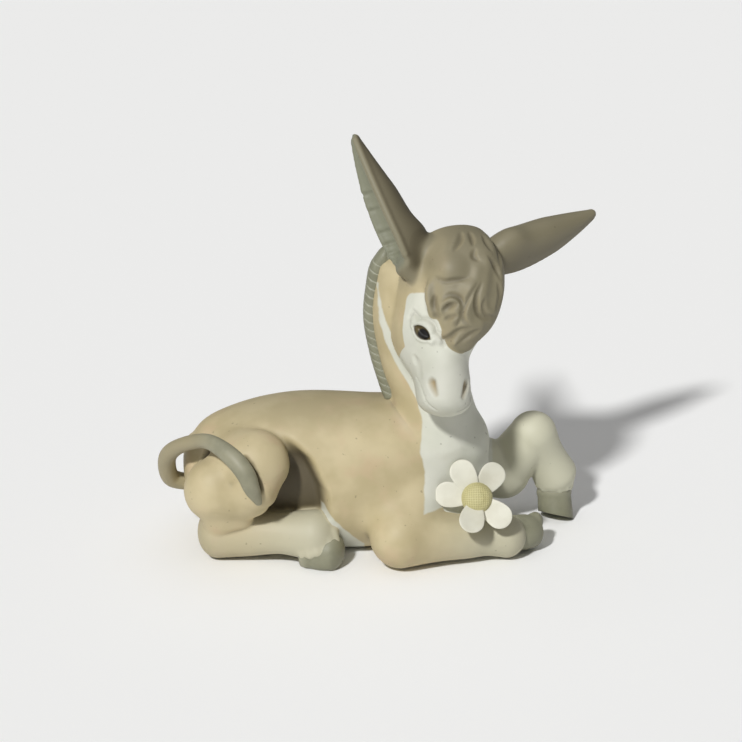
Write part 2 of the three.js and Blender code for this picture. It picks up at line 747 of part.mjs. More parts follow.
const porcelain = (color, roughness) =>
  new THREE.MeshStandardMaterial({ color, roughness, metalness: 0 });
const glazes = {
  fawn: porcelain("#c3b592", 0.55),
  white: porcelain("#dcdccd", 0.5),
  grey: porcelain("#8f8f7a", 0.55),
  brown: porcelain("#a39a7e", 0.55),
  yellow: porcelain("#d3cc92", 0.6),
};

function piece(name, solid, material) {
  const mesh = new THREE.Mesh(geometryOf(solid), material);
  mesh.name = name;
  return mesh;
}

// The figurine

const figurine = new THREE.Group();
figurine.add(
  piece("trunk", trunk, glazes.fawn),
  piece("neck", neck, glazes.fawn),
  piece("mane", mane, glazes.grey),
  piece("tail", tail, glazes.grey),
  piece("right_foreleg", rightForeleg, glazes.fawn),
  piece("right_fore_hoof", rightForeHoof, glazes.grey),
  piece("left_foreleg", leftForeleg, glazes.white),
  piece("left_fore_hoof", leftForeHoof, glazes.grey),
);
for (const [name, { haunch, shank, hoof }] of Object.entries(hind)) {
  figurine.add(
    piece(`${name}_haunch`, haunch, glazes.fawn),
    piece(`${name}_hind_shank`, shank, glazes.white),
    piece(`${name}_hind_hoof`, hoof, glazes.grey),
  );
}

headGroup.add(
  piece("head", head, glazes.white),
  piece("forelock", forelock, glazes.brown),
  piece("right_ear", rightEar, glazes.brown),
  piece("left_ear", leftEar, glazes.brown),
);
figurine.add(headGroup, daisyGroup);

daisyGroup.add(piece("daisy_eye", daisyEye, glazes.yellow));
petals.forEach((solid, k) => daisyGroup.add(piece(`petal_${k + 1}`, solid, glazes.white)));

export default figurine;
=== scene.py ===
"""A matte porcelain donkey foal lying down with a daisy, modelled as clay and painted as bisque.

The foal's skin is built up from rolls of clay, kneaded into one surface, carved, painted, and cut
at the lute joints into the pieces that the figurine is cast in. Sizes are in millimetres.
"""

import logging
import math
from dataclasses import dataclass
from enum import Enum

import bpy
import numpy as np
from mathutils import Matrix, Vector
from mathutils.bvhtree import BVHTree


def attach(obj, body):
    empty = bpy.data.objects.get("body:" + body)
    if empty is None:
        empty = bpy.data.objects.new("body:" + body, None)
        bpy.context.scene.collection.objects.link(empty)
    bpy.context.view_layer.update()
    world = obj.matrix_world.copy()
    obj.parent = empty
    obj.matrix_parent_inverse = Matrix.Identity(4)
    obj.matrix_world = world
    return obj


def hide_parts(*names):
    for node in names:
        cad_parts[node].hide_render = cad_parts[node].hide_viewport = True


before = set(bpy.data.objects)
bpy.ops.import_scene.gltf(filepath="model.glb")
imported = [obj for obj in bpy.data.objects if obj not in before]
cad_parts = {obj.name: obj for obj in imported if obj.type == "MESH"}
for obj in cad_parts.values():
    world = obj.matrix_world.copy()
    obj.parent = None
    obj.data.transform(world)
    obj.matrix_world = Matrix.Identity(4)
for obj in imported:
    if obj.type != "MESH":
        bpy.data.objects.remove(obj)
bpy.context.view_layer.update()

log = logging.getLogger("donkey")

MM = 0.001
Point = tuple[float, float, float]
Array = np.ndarray
Colour = str | bpy.types.NodeSocket
Values = dict[str, bpy.types.NodeSocket]
Clouds = dict[str, tuple[float, float]]
Bounds = dict[str, tuple[str, float, float, float]]
UP: Point = (0.0, 0.0, 1.0)
DOWN: Point = (0.0, 0.0, -1.0)
AHEAD: Point = (1.0, 0.0, 0.0)
BACK: Point = (-1.0, 0.0, 0.0)
LEFT: Point = (0.0, 1.0, 0.0)
FACE: Point = (0.0, -1.0, 0.0)
IDENTITY = np.eye(4)
# The level of a layer of distances where nothing of its paint is near, in mm
OUTSIDE = -5.0


# Small sums

def mix(a: Point, b: Point, share: float) -> Point:
    """A point a share of the way from a to b."""
    return tuple(p + (q - p) * share for p, q in zip(a, b))


def unit(v: Array) -> Array:
    """Vectors of the same direction and length one."""
    return v / np.linalg.norm(v, axis=-1, keepdims=True)


def spline(points: Array, steps: int) -> Array:
    """A smooth curve through points.

    Args:
        points: one row for each point.
        steps: how many steps to take between two points.

    Returns:
        One row for each place on the curve.
    """
    first = 2 * points[0] - points[1]
    last = 2 * points[-1] - points[-2]
    padded = np.vstack([first, points, last])
    t = np.linspace(0, 1, steps, endpoint=False)[:, None]
    runs = []
    for a, b, c, d in zip(padded, padded[1:], padded[2:], padded[3:]):
        bend = 2 * a - 5 * b + 4 * c - d
        twist = 3 * b - a - 3 * c + d
        runs.append(0.5 * (2 * b + (c - a) * t + bend * t**2 + twist * t**3))
    return np.vstack([*runs, points[-1:]])


def fade(distance: Array, reach: float) -> Array:
    """One at no distance, falling smoothly to nothing at reach."""
    share = np.clip(np.abs(distance) / reach, 0, 1)
    return (1 - share**2) ** 2


def ramp(value: Array, low: float, high: float) -> Array:
    """Nothing below low, rising smoothly to one at high."""
    share = np.clip((value - low) / (high - low), 0, 1)
    return share * share * (3 - 2 * share)


def path_distance(points: Array, path: Array) -> Array:
    """The distance from each point to a run of straight steps.

    Args:
        points: one row for each point.
        path: one row for each corner of the run.

    Returns:
        One distance for each point.
    """
    best = np.full(len(points), np.inf)
    for a, b in zip(path, path[1:]):
        run = b - a
        share = np.clip((points - a) @ run / max(run @ run, 1e-9), 0, 1)
        off = points - a - share[:, None] * run
        best = np.minimum(best, np.linalg.norm(off, axis=1))
    return best


def frame_of(origin: Point, yaw: float, nod: float, roll: float) -> Array:
    """The matrix of a part that is turned about Z, then X, then Y.

    Args:
        origin: where the part's own origin lies.
        yaw: turn about Z in degrees.
        nod: turn about X in degrees.
        roll: turn about Y in degrees.

    Returns:
        A matrix from the part's own frame to the figurine's.
    """
    turns = [(yaw, "Z"), (nod, "X"), (roll, "Y")]
    matrix = Matrix.Translation(Vector(origin))
    for angle, axis in turns:
        matrix = matrix @ Matrix.Rotation(math.radians(angle), 4, axis)
    return np.array(matrix)


def carried(points: Array, matrix: Array) -> Array:
    """Points moved by a matrix."""
    return points @ matrix[:3, :3].T + matrix[:3, 3]


def inside(points: Array, matrix: Array) -> Array:
    """Points given in the frame of a matrix."""
    return (points - matrix[:3, 3]) @ matrix[:3, :3]


# Meshes

def coords(obj: bpy.types.Object) -> Array:
    """The places of an object's vertices.

    Args:
        obj: the object.

    Returns:
        One place a row, in mm.
    """
    flat = np.empty(len(obj.data.vertices) * 3, np.float32)
    obj.data.vertices.foreach_get("co", flat)
    return flat.reshape(-1, 3).astype(float) / MM


def put(obj: bpy.types.Object, points: Array) -> None:
    """Moves an object's vertices to new places."""
    obj.data.vertices.foreach_set("co", (points * MM).astype(np.float32).ravel())
    obj.data.update()


def normals(obj: bpy.types.Object) -> Array:
    """The directions out of the surface at an object's vertices.

    Args:
        obj: the object.

    Returns:
        One direction a row.
    """
    flat = np.empty(len(obj.data.vertices) * 3, np.float32)
    obj.data.vertex_normals.foreach_get("vector", flat)
    return flat.reshape(-1, 3).astype(float)


def choose(*objects: bpy.types.Object) -> None:
    """Selects these objects and nothing else, the last one active.

    Args:
        objects: the objects.
    """
    bpy.ops.object.select_all(action="DESELECT")
    for obj in objects:
        obj.select_set(True)
    bpy.context.view_layer.objects.active = objects[-1]


def apply_modifier(obj: bpy.types.Object, kind: str, **settings: object) -> None:
    """Adds a modifier to an object and applies it.

    Args:
        obj: the object.
        kind: the modifier's type.
        settings: the modifier's settings.
    """
    choose(obj)
    bpy.ops.object.modifier_add(type=kind)
    modifier = obj.modifiers[-1]
    for key, value in settings.items():
        setattr(modifier, key, value)
    bpy.ops.object.modifier_apply(modifier=modifier.name)


def store(obj: bpy.types.Object, layers: dict[str, Array]) -> None:
    """Keeps named values for each vertex of an object, for its material to read.

    Args:
        obj: the object.
        layers: a value for each vertex, by name.
    """
    for name, values in layers.items():
        attribute = obj.data.attributes.new(name, "FLOAT", "POINT")
        attribute.data.foreach_set("value", values.astype(np.float32))


# Clay

@dataclass(frozen=True)
class Ring:
    """One section of a clay roll.

    Attributes:
        at: its middle.
        side: its half size to each side.
        up: its half size towards the roll's up direction, less than nothing where it is hollowed.
        down: its half size away from that direction.
    """

    at: Point
    side: float
    up: float
    down: float


def disc(at: Point, girth: float) -> Ring:
    """A round section."""
    return Ring(at, girth, girth, girth)


@dataclass(frozen=True)
class Roll:
    """A length of clay, shaped by its sections.

    Attributes:
        rings: the sections, from the start to the end.
        up: the direction that the sections' up sizes point in.
        start_cap: how far the round start stands out.
        end_cap: how far the round end stands out.
        square: the one direction that all sections lie across, if they don't follow the roll.
        boxy: one for an oval section, and less for one with flatter sides.
        wall: how thick the two sides of a hollowed section are.
        steps: how many steps are taken between two sections.
        segments: how many points go round a section.
    """

    rings: tuple[Ring, ...]
    up: Point = UP
    start_cap: float = 0.0
    end_cap: float = 0.0
    square: Point | None = None
    boxy: float = 1.0
    wall: float = 0.0
    steps: int = 8
    segments: int = 40

    CAP_STEPS = 8

    def spine(self) -> tuple[Array, Array]:
        """The smooth run of the sections' middles, and of their half sizes.

        Returns:
            The middles, and the half sizes aside, up and down, a row a step.
        """
        places = spline(np.array([r.at for r in self.rings]), self.steps)
        sizes = spline(np.array([(r.side, r.up, r.down) for r in self.rings]), self.steps)
        return places, sizes

    def axes(self, places: Array) -> tuple[Array, Array, Array]:
        """The directions along, up and aside at each place, with up carried along the run.

        Args:
            places: the run of the sections' middles.

        Returns:
            Three arrays with a direction for each place.
        """
        along = unit(np.gradient(places, axis=0))
        if self.square:
            along = np.tile(np.array(self.square), (len(places), 1))
        rise = np.empty_like(along)
        last = np.array(self.up)
        for i, direction in enumerate(along):
            last = unit(last - direction * (last @ direction))
            rise[i] = last
        return along, rise, np.cross(along, rise)

    def sections(self) -> tuple[Array, Array, Array, Array]:
        """The middles, half sizes, up and side directions of all sections, with both ends closed.

        Returns:
            The four, a row a section.
        """
        places, sizes = self.spine()
        along, rise, aside = self.axes(places)
        turn = np.linspace(0, math.pi / 2, self.CAP_STEPS + 1)[1:, None]
        end = places[-1] + along[-1] * self.end_cap * np.sin(turn)
        start = (places[0] - along[0] * self.start_cap * np.sin(turn))[::-1]
        repeat = (self.CAP_STEPS, 1)
        return (
            np.vstack([start, places, end]),
            np.vstack([(sizes[0] * np.cos(turn))[::-1], sizes, sizes[-1] * np.cos(turn)]),
            np.vstack([np.tile(rise[0], repeat), rise, np.tile(rise[-1], repeat)]),
            np.vstack([np.tile(aside[0], repeat), aside, np.tile(aside[-1], repeat)]),
        )

    def add(self, name: str, matrix: Array = IDENTITY) -> bpy.types.Object:
        """Rolls the clay out: a ball is added and its rings are drawn along the sections.

        Args:
            name: the new object's name.
            matrix: the frame that the sections are given in.

        Returns:
            The new object.
        """
        middles, sizes, rise, aside = self.sections()
        count = len(middles) - 1
        bpy.ops.object.select_all(action="DESELECT")
        bpy.ops.mesh.primitive_uv_sphere_add(segments=self.segments, ring_count=count, radius=1)
        obj = bpy.context.active_object
        obj.name = name
        ball = coords(obj) * MM
        ring = np.rint(np.arccos(np.clip(ball[:, 2], -1, 1)) / math.pi * count).astype(int)
        turn = np.arctan2(ball[:, 1], ball[:, 0])
        across = np.sign(np.cos(turn)) * np.abs(np.cos(turn)) ** self.boxy
        lift = np.sign(np.sin(turn)) * np.abs(np.sin(turn)) ** self.boxy
        side, up, down = sizes[ring].T
        hollow = (lift > 1e-6) & (up < 0)
        across = np.where(hollow, across * np.clip(1 - self.wall / np.maximum(side, 1e-6), 0.2, 1), across)
        reach = aside[ring] * (across * side)[:, None]
        height = rise[ring] * (lift * np.where(lift > 0, up, down))[:, None]
        put(obj, carried(middles[ring] + reach + height, matrix))
        bpy.ops.object.shade_smooth()
        return obj


def lobe(start: Point, start_girth: float, end: Point, end_girth: float, up: Point = UP) -> Roll:
    """A straight lump of flesh with round ends.

    Args:
        start: the middle of its start.
        start_girth: its radius there.
        end: the middle of its end.
        end_girth: its radius there.
        up: a direction across it.

    Returns:
        The lump.
    """
    rings = (disc(start, start_girth), disc(end, end_girth))
    return Roll(rings, up, start_girth, end_girth)


class Surface:
    """A skin of clay while it is carved and painted.

    Attributes:
        obj: the object that is worked on.
        points: the places of its vertices.
        normals: the directions out of it there.
        layers: the values for its paint, by name.
    """

    # How finely the weights of a rub are told apart, and how a groove's line is followed
    RUB_LEVELS = 10
    GROOVE_STEPS = 6

    def __init__(self, obj: bpy.types.Object) -> None:
        """Starts work on an object.

        Args:
            obj: the object.
        """
        self.obj = obj
        self.layers: dict[str, Array] = {}
        self.edges = np.empty(len(obj.data.edges) * 2, np.int32)
        obj.data.edges.foreach_get("vertices", self.edges)
        self.refresh()

    def refresh(self) -> None:
        """Reads the places and directions again."""
        self.points = coords(self.obj)
        self.normals = normals(self.obj)

    def push(self, amount: Array) -> None:
        """Moves the surface outwards by an amount at each vertex."""
        put(self.obj, self.points + self.normals * amount[:, None])
        self.refresh()

    def grind(self) -> None:
        """Grinds off what lies below the table."""
        flat = self.points.copy()
        flat[:, 2] = np.maximum(flat[:, 2], 0)
        put(self.obj, flat)
        self.refresh()

    def smooth(self, weight: Array, repeats: int) -> None:
        """Rubs the surface smooth.

        Args:
            weight: how much each vertex takes part, from nothing to one.
            repeats: how often the rubbing goes over it.
        """
        group = self.obj.vertex_groups.new(name="rub")
        levels = np.round(np.clip(weight, 0, 1) * self.RUB_LEVELS).astype(int)
        for level in range(1, self.RUB_LEVELS + 1):
            group.add(np.flatnonzero(levels == level).tolist(), level / self.RUB_LEVELS, "REPLACE")
        apply_modifier(self.obj, "SMOOTH", factor=0.5, iterations=repeats, vertex_group="rub")
        self.obj.vertex_groups.remove(self.obj.vertex_groups["rub"])
        self.refresh()

    def average(self, values: Array, repeats: int) -> Array:
        """Evens values out between neighbouring vertices.

        Args:
            values: a value for each vertex.
            repeats: how often each takes the mean of its neighbours.

        Returns:
            The evened values.
        """
        first, second = self.edges.reshape(-1, 2).T
        count = len(values)
        valence = np.maximum(np.bincount(self.edges, minlength=count), 1)
        for _ in range(repeats):
            total = np.bincount(first, values[second], count) + np.bincount(second, values[first], count)
            values = total / valence
        return values

    def hollows(self, repeats: int) -> Array:
        """How deep each vertex lies below the mean of the surface round it, in mm."""
        means = np.stack([self.average(axis, repeats) for axis in self.points.T], axis=1)
        return ((means - self.points) * self.normals).sum(axis=1)

    def layer(self, name: str, level: float = 0.0) -> Array:
        """The values for one paint, all at one level at first."""
        return self.layers.setdefault(name, np.full(len(self.points), level))

    def snap(self, path: Array) -> Array:
        """The places on the surface that are nearest to the corners of a path."""
        return np.array([self.points[np.argmin(((self.points - p) ** 2).sum(axis=1))] for p in path])

    def groove(self, path: Array, width: float, depth: float) -> Array:
        """Draws a rounded groove, or a ridge where the depth is less than nothing.

        Args:
            path: the corners of the groove's line, on or near the surface.
            width: its half width.
            depth: its depth.

        Returns:
            The distance from each vertex to the line.
        """
        line = self.snap(spline(self.snap(path), self.GROOVE_STEPS))
        off = path_distance(self.points, line)
        self.push(-depth * fade(off, width))
        return off

    def press(self, at: Array, reach: float, depth: float) -> None:
        """Presses a round hollow, or raises a swelling where the depth is less than nothing."""
        centre = self.snap(np.array([at]))[0]
        self.push(-depth * fade(np.linalg.norm(self.points - centre, axis=1), reach))


class Clay:
    """Lumps of clay that are kneaded into one skin.

    Attributes:
        lumps: the lumps, each with the name of the piece that it belongs to.
        owner: the piece that each face of the lumps belongs to, once they are kneaded.
        tree: the lumps' faces, to look for the nearest.
    """

    def __init__(self) -> None:
        """Starts with no clay."""
        self.lumps: list[tuple[str, bpy.types.Object]] = []
        self.owner: list[str] = []
        self.tree: BVHTree | None = None

    def add(self, piece: str, rolls: list[Roll], matrix: Array = IDENTITY) -> None:
        """Adds rolls to the clay of a piece.

        Args:
            piece: the piece's name.
            rolls: the rolls.
            matrix: the frame that they are given in.
        """
        for roll in rolls:
            self.lumps.append((piece, roll.add(f"clay_{piece}", matrix)))

    def knead(self, name: str, grain: float) -> bpy.types.Object:
        """Joins the lumps into one skin, and keeps where each piece's clay was.

        Args:
            name: the skin's name.
            grain: the size of the skin's faces.

        Returns:
            The skin.
        """
        places: list[Array] = []
        faces: list[tuple[int, ...]] = []
        for piece, obj in self.lumps:
            start = sum(len(p) for p in places)
            places.append(coords(obj))
            polygons = [tuple(start + i for i in p.vertices) for p in obj.data.polygons]
            faces.extend(polygons)
            self.owner.extend([piece] * len(polygons))
        self.tree = BVHTree.FromPolygons(np.vstack(places).tolist(), faces)
        choose(*(obj for _, obj in self.lumps))
        bpy.ops.object.join()
        skin = bpy.context.active_object
        skin.name = name
        apply_modifier(skin, "REMESH", mode="VOXEL", voxel_size=grain * MM, use_smooth_shade=True)
        return skin

    def shares(self, surface: Surface, repeats: int) -> dict[str, Array]:
        """How much each piece's clay has of the skin at each vertex, with soft borders.

        Args:
            surface: the skin.
            repeats: how far the borders are softened.

        Returns:
            A share for each vertex, by the piece's name.
        """
        nearest = [self.tree.find_nearest(p)[2] for p in surface.points.tolist()]
        names = np.array(self.owner)[nearest]
        pieces = dict.fromkeys(self.owner)
        return {piece: surface.average((names == piece).astype(float), repeats) for piece in pieces}


# Finishes

def linear(colour: str) -> tuple[float, float, float, float]:
    """A colour written as sRGB hex, as the linear values that a shader takes.

    Args:
        colour: a hash sign and six hex digits.

    Returns:
        Red, green, blue and a full alpha.
    """
    parts = [int(colour[i : i + 2], 16) / 255 for i in (1, 3, 5)]
    values = [c / 12.92 if c <= 0.04045 else ((c + 0.055) / 1.055) ** 2.4 for c in parts]
    return (*values, 1.0)


class Graph:
    """The nodes of one material.

    Attributes:
        material: the material.
        shader: its surface shader.
    """

    # The colour inputs and the colour output of a Mix node, by number
    UNDER = 6
    OVER = 7
    MIXED = 2

    def __init__(self, name: str) -> None:
        """Starts a material with a plain surface shader.

        Args:
            name: the material's name.
        """
        self.material = bpy.data.materials.new(name)
        self.material.use_nodes = True
        self.tree = self.material.node_tree
        self.shader = self.tree.nodes["Principled BSDF"]

    def fill(self, node: bpy.types.Node, inputs: dict) -> None:
        """Sets inputs of a node.

        Args:
            node: the node.
            inputs: a value, a colour in sRGB hex or another node's output, by name or number.
        """
        for key, value in inputs.items():
            if isinstance(value, bpy.types.NodeSocket):
                self.tree.links.new(value, node.inputs[key])
            else:
                node.inputs[key].default_value = linear(value) if isinstance(value, str) else value

    def add(self, kind: str, inputs: dict, out: int | str = 0, **settings: object) -> bpy.types.NodeSocket:
        """Adds a node with its settings and links.

        Args:
            kind: the node's type, without its common start.
            inputs: what goes into it, as fill takes it.
            out: the output to give back.
            settings: the node's settings.

        Returns:
            The node's output.
        """
        node = self.tree.nodes.new(f"ShaderNode{kind}")
        for key, value in settings.items():
            setattr(node, key, value)
        self.fill(node, inputs)
        return node.outputs[out]

    def lay(self, ground: Colour, coats: list[tuple[bpy.types.NodeSocket, Colour]]) -> Colour:
        """Lays coats of colour over a ground.

        Args:
            ground: the colour below.
            coats: how much of each coat covers what is below it, and its colour.

        Returns:
            The colour that is seen.
        """
        for share, colour in coats:
            inputs = {"Factor": share, self.UNDER: ground, self.OVER: colour}
            ground = self.add("Mix", inputs, self.MIXED, data_type="RGBA")
        return ground


@dataclass(frozen=True, kw_only=True)
class Bisque:
    """Porcelain that is fired without a glaze.

    Light spreads in it, so it has an even, soft sheen and no mirror spots. The tooth of its surface
    is drawn about ten times as coarse as it is, so that it shows.

    Attributes:
        roughness: how matte it is.
        ior: the index of refraction of porcelain.
        tooth: the size of its grain in mm.
        tooth_height: the height of its grain in mm.
        tooth_detail: how ragged the grain is.
    """

    roughness: float = 0.52
    ior: float = 1.5
    tooth: float = 0.45
    tooth_height: float = 0.012
    tooth_detail: float = 2.0

    def start(self, name: str, clouds: Clouds, layers: tuple[str, ...]) -> tuple[Graph, Values]:
        """Starts a material with the tooth of bisque.

        Args:
            name: the material's name.
            clouds: the size in mm and the detail of soft patches, by name.
            layers: the names of the values that the piece keeps for its vertices.

        Returns:
            The nodes, and the values of the clouds and layers by name.
        """
        g = Graph(name)
        place = g.add("TexCoord", {}, "Object")
        values = {key: g.add("Attribute", {}, "Fac", attribute_name=key) for key in layers}
        for key, (size, detail) in {**clouds, "tooth": (self.tooth, self.tooth_detail)}.items():
            noise = {"Vector": place, "Scale": 1 / (size * MM), "Detail": detail}
            values[key] = g.add("TexNoise", noise, "Fac")
        tooth = {"Height": values["tooth"], "Strength": 1.0, "Distance": self.tooth_height * MM}
        g.fill(g.shader, {"Normal": g.add("Bump", tooth), "Roughness": self.roughness, "IOR": self.ior})
        return g, values

    def cut_off(self, g: Graph, values: Values, bounds: Bounds) -> Values:
        """Works out how much of each coat there is.

        Args:
            g: the nodes.
            values: the values that the coats follow, by name.
            bounds: for each coat its value, the two bounds that it rises between, and its strength.

        Returns:
            A share for each coat, by name.
        """
        shares = {}
        for coat, (key, low, high, strength) in bounds.items():
            inputs = {"Value": values[key], "From Min": low, "From Max": high, "To Max": strength}
            shares[coat] = g.add("MapRange", inputs, interpolation_type="SMOOTHSTEP")
        return shares


@dataclass(frozen=True)
class PaintedBisque(Bisque):
    """The foal's coat: fawn slip sprayed over white bisque, brown on the crown and ears.

    The layers say where each colour lies: white, eye and pupil are distances in mm inside the
    painted edge, and the others are shares. One dark layer is painted shade and painted shadow in
    crevices, in the flank's hollow and on parts turned from the light; its colour also paints the
    specks. Only the eyes have a little gloss.
    """

    fawn: str = "#c6b893"
    fawn_deep: str = "#b6a882"
    rose: str = "#c9ad8f"
    brown: str = "#827b63"
    white: str = "#d7d7ca"
    white_shade: str = "#cbccbd"
    cream: str = "#cac8b1"
    lining: str = "#81826e"
    # The dark colour of the painted shade and painted shadow, which the specks take too
    wash: str = "#4a4230"
    nostril: str = "#98845c"
    iris: str = "#5c5030"
    pupil: str = "#0f0c09"
    lash: str = "#4a4232"
    roughness: float = 0.58
    tooth: float = 0.5
    eye_roughness: float = 0.42

    # The border of the white wanders by up to this, from side to side, in mm
    wander: float = 0.8

    # Soft patches: their size in mm, and how ragged they are
    CLOUDS = {"broad": (16, 3), "small": (9, 3), "wide": (20, 3), "waver": (3, 3), "grit": (1.6, 1)}
    LAYERS = ("white", "brown", "cream", "lining", "wash", "nostril", "eye", "pupil")
    # Each coat's cloud or distance, the bounds that it rises between, and its strength; the mask's
    # bounds lie half the wander further in
    BOUNDS = {
        "deep": ("broad", 0.35, 0.65, 1),
        "rose": ("small", 0.5, 0.75, 0.35),
        "shade": ("wide", 0.35, 0.65, 1),
        "mask": ("border", 0.05, 0.75, 1),
        "speck": ("grit", 0.74, 0.8, 0.35),
        "lash": ("eye", -0.5, -0.1, 1),
        "ball": ("eye", -0.12, 0.12, 1),
        "dark": ("pupil", -0.25, 0.15, 1),
    }

    def material(self) -> bpy.types.Material:
        """The material, with each coat laid over the ones before it.

        Returns:
            The material.
        """
        g, values = self.start("painted_bisque_porcelain", self.CLOUDS, self.LAYERS)
        border = {0: values["waver"], 1: self.wander, 2: values["white"]}
        values["border"] = g.add("Math", border, operation="MULTIPLY_ADD")
        shares = self.cut_off(g, values, self.BOUNDS)
        white = g.lay(self.white, [(shares["shade"], self.white_shade)])
        ball = g.lay(self.iris, [(shares["dark"], self.pupil)])
        coat = g.lay(self.fawn, [
            (shares["deep"], self.fawn_deep),
            (shares["rose"], self.rose),
            (values["brown"], self.brown),
            (values["cream"], self.cream),
            (shares["mask"], white),
            (values["lining"], self.lining),
            # Painted shade and painted shadow
            (values["wash"], self.wash),
            (shares["speck"], self.wash),
            (values["nostril"], self.nostril),
            (shares["lash"], self.lash),
            (shares["ball"], ball),
        ])
        gloss = {"Value": shares["ball"], "To Min": self.roughness, "To Max": self.eye_roughness}
        g.fill(g.shader, {"Base Color": coat, "Roughness": g.add("MapRange", gloss)})
        return g.material


@dataclass(frozen=True)
class SlipBisque(Bisque):
    """Bisque coloured with slip, on a small piece.

    Attributes:
        name: what the stuff is.
        base: its colour.
        cloudy: the colour of its soft patches.
        other: the colour that the layer other brings in.
    """

    name: str
    base: str
    cloudy: str
    other: str

    CLOUDS = {"soft": (7, 3)}
    LAYERS = ("other",)
    BOUNDS = {"cloudy": ("soft", 0.35, 0.7, 1)}

    def material(self) -> bpy.types.Material:
        """The material, with soft patches and a second colour.

        Returns:
            The material.
        """
        g, values = self.start(self.name, self.CLOUDS, self.LAYERS)
        shares = self.cut_off(g, values, self.BOUNDS)
        coat = g.lay(self.base, [(shares["cloudy"], self.cloudy), (values["other"], self.other)])
        g.fill(g.shader, {"Base Color": coat})
        return g.material


MANE_SLIP = SlipBisque("grey_green_slip", "#868671", "#7a7a65", "#b1b2a0")
TAIL_SLIP = SlipBisque("grey_brown_slip", "#95927b", "#87856f", "#9c9274")
HOOF_SLIP = SlipBisque("grey_hoof_slip", "#8b8a74", "#7c7b66", "#adab95")
PETAL_BISQUE = SlipBisque("ivory_bisque", "#d6d4c4", "#ccc9b7", "#dddbce", roughness=0.55)
# The daisy eye's second colour is painted shade between its grains
DAISY_EYE_BISQUE = SlipBisque("yellow_bisque_grains", "#c9c391", "#bfb883", "#9f9465")


@dataclass(frozen=True)
class Paper:
    """Plain matte paper for the floor, so pale that only the shadow shows on it."""

    colour: str = "#fafaf9"
    roughness: float = 0.9

    def material(self) -> bpy.types.Material:
        """The material.

        Returns:
            The material.
        """
        g = Graph("pale_floor")
        g.fill(g.shader, {"Base Color": self.colour, "Roughness": self.roughness})
        return g.material


class Slot(Enum):
    """The record's material slots."""

    FAWN = "fawn_bisque"
    WHITE = "white_bisque"
    GREY = "grey_bisque"
    BROWN = "brown_bisque"
    YELLOW = "yellow_bisque"


def hand_in(obj: bpy.types.Object, node: str, material: bpy.types.Material) -> None:
    """Gives a finished piece its material and its place in the figurine.

    Args:
        obj: the piece.
        node: the solid that it stands for.
        material: its material.
    """
    obj.data.materials.clear()
    obj.data.materials.append(material)
    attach(obj, "root")
    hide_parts(node)
    log.info("%s: %d faces", obj.name, len(obj.data.polygons))


# The foal's forms

@dataclass(frozen=True)
class Trunk:
    """The barrel, with a full rump and a narrow breast.

    Attributes:
        rump_reach: how far the rump lies behind the figurine's middle.
        breast_reach: how far the breast lies ahead of it.
        width: the barrel's width.
        height: the back's height over the table.
        belly_flat: how much the flat base takes off the belly.
        flank_hollow: the depth of the hollow ahead of the thigh.
    """

    rump_reach: float = 68.5
    breast_reach: float = 39.0
    width: float = 51.0
    height: float = 53.6
    belly_flat: float = 1.2
    flank_hollow: float = 9.5

    # Sections: how far along, the shares of the width and height, and how far they are lifted
    STATIONS = [
        (0.06, 0.55, 0.56, -2.5),
        (0.16, 0.84, 0.83, -1),
        (0.37, 1, 1, 0),
        (0.62, 0.95, 0.99, 0),
        (0.78, 0.76, 0.96, 1),
        (0.9, 0.52, 0.78, 2),
        (0.96, 0.34, 0.5, 3),
    ]
    # The hollow's border ahead: heights, and how far along it lies there
    HOLLOW_HEIGHTS = [14, 21, 28, 39, 49]
    HOLLOW_BORDER = [-15.5, -15, -15.7, -21, -31]
    # The same for the painted shadow that darkens it
    POCKET_BORDER = [-17.6, -17.1, -17.8, -23, -33]

    @property
    def flank(self) -> float:
        """Half the barrel's width."""
        return self.width / 2

    @property
    def half(self) -> float:
        """Half the barrel's height, with the part that the flat base takes off."""
        return (self.height + self.belly_flat) / 2

    @property
    def middle(self) -> float:
        """The height of the barrel's axis."""
        return self.height - self.half

    def rolls(self) -> list[Roll]:
        """The clay of the barrel, of the breast and of the muscle behind the daisy.

        Returns:
            The three rolls.
        """
        length = self.rump_reach + self.breast_reach
        rings = tuple(
            Ring(
                (share * length - self.rump_reach, 0, self.middle + lift),
                self.flank * wide,
                self.half * high,
                self.half * high,
            )
            for share, wide, high, lift in self.STATIONS
        )
        caps = (self.rump_reach * 0.07, self.breast_reach * 0.1)
        breast = self.breast_reach - 15
        throat = (breast + 0.8, 0, self.middle + 10.7)
        breastbone = (breast - 1, -2, self.middle - 4)
        muscle_back = (breast - 7, -14, self.middle - 7.2)
        muscle_front = (breast + 8, -10, self.middle - 9)
        return [
            Roll(rings, UP, *caps, steps=24, segments=160),
            lobe(throat, 14.5, breastbone, 13, AHEAD),
            lobe(muscle_back, 6.5, muscle_front, 6),
        ]

    def hollow(self, obj: bpy.types.Object) -> None:
        """Presses in the hollow of each flank, ahead of the thigh.

        Args:
            obj: the barrel's clay.
        """
        points = coords(obj)
        x, y, z = points.T
        border = np.interp(z, self.HOLLOW_HEIGHTS, self.HOLLOW_BORDER)
        depth = self.flank_hollow * ramp(border - x, 0, 6) * ramp(x, -58, -48)
        depth *= ramp(z, 6, 15) * ramp(-z, -48, -34)
        points[:, 1] -= np.sign(y) * np.minimum(depth, np.abs(y) * 0.4)
        put(obj, points)

    def pocket_shadow(self, x: Array, z: Array) -> Array:
        """How much of the painted shadow in the flank's hollow a place gets."""
        behind = np.interp(z, self.HOLLOW_HEIGHTS, self.POCKET_BORDER) - x
        return ramp(behind, -0.8, 2.8) * ramp(z, 8, 16) * ramp(-z, -47, -38) * (x > -50)

    def belly(self, x: Array, z: Array) -> Array:
        """How far inside the white of the belly a place lies."""
        slope = (21.5 - 1.23 * (x + 18) - z) * 0.63
        return np.minimum.reduce([slope, (x + 19.4) * 0.9, (-4.5 - x) * 0.9, (22 - z) * 0.9])


TRUNK = Trunk()


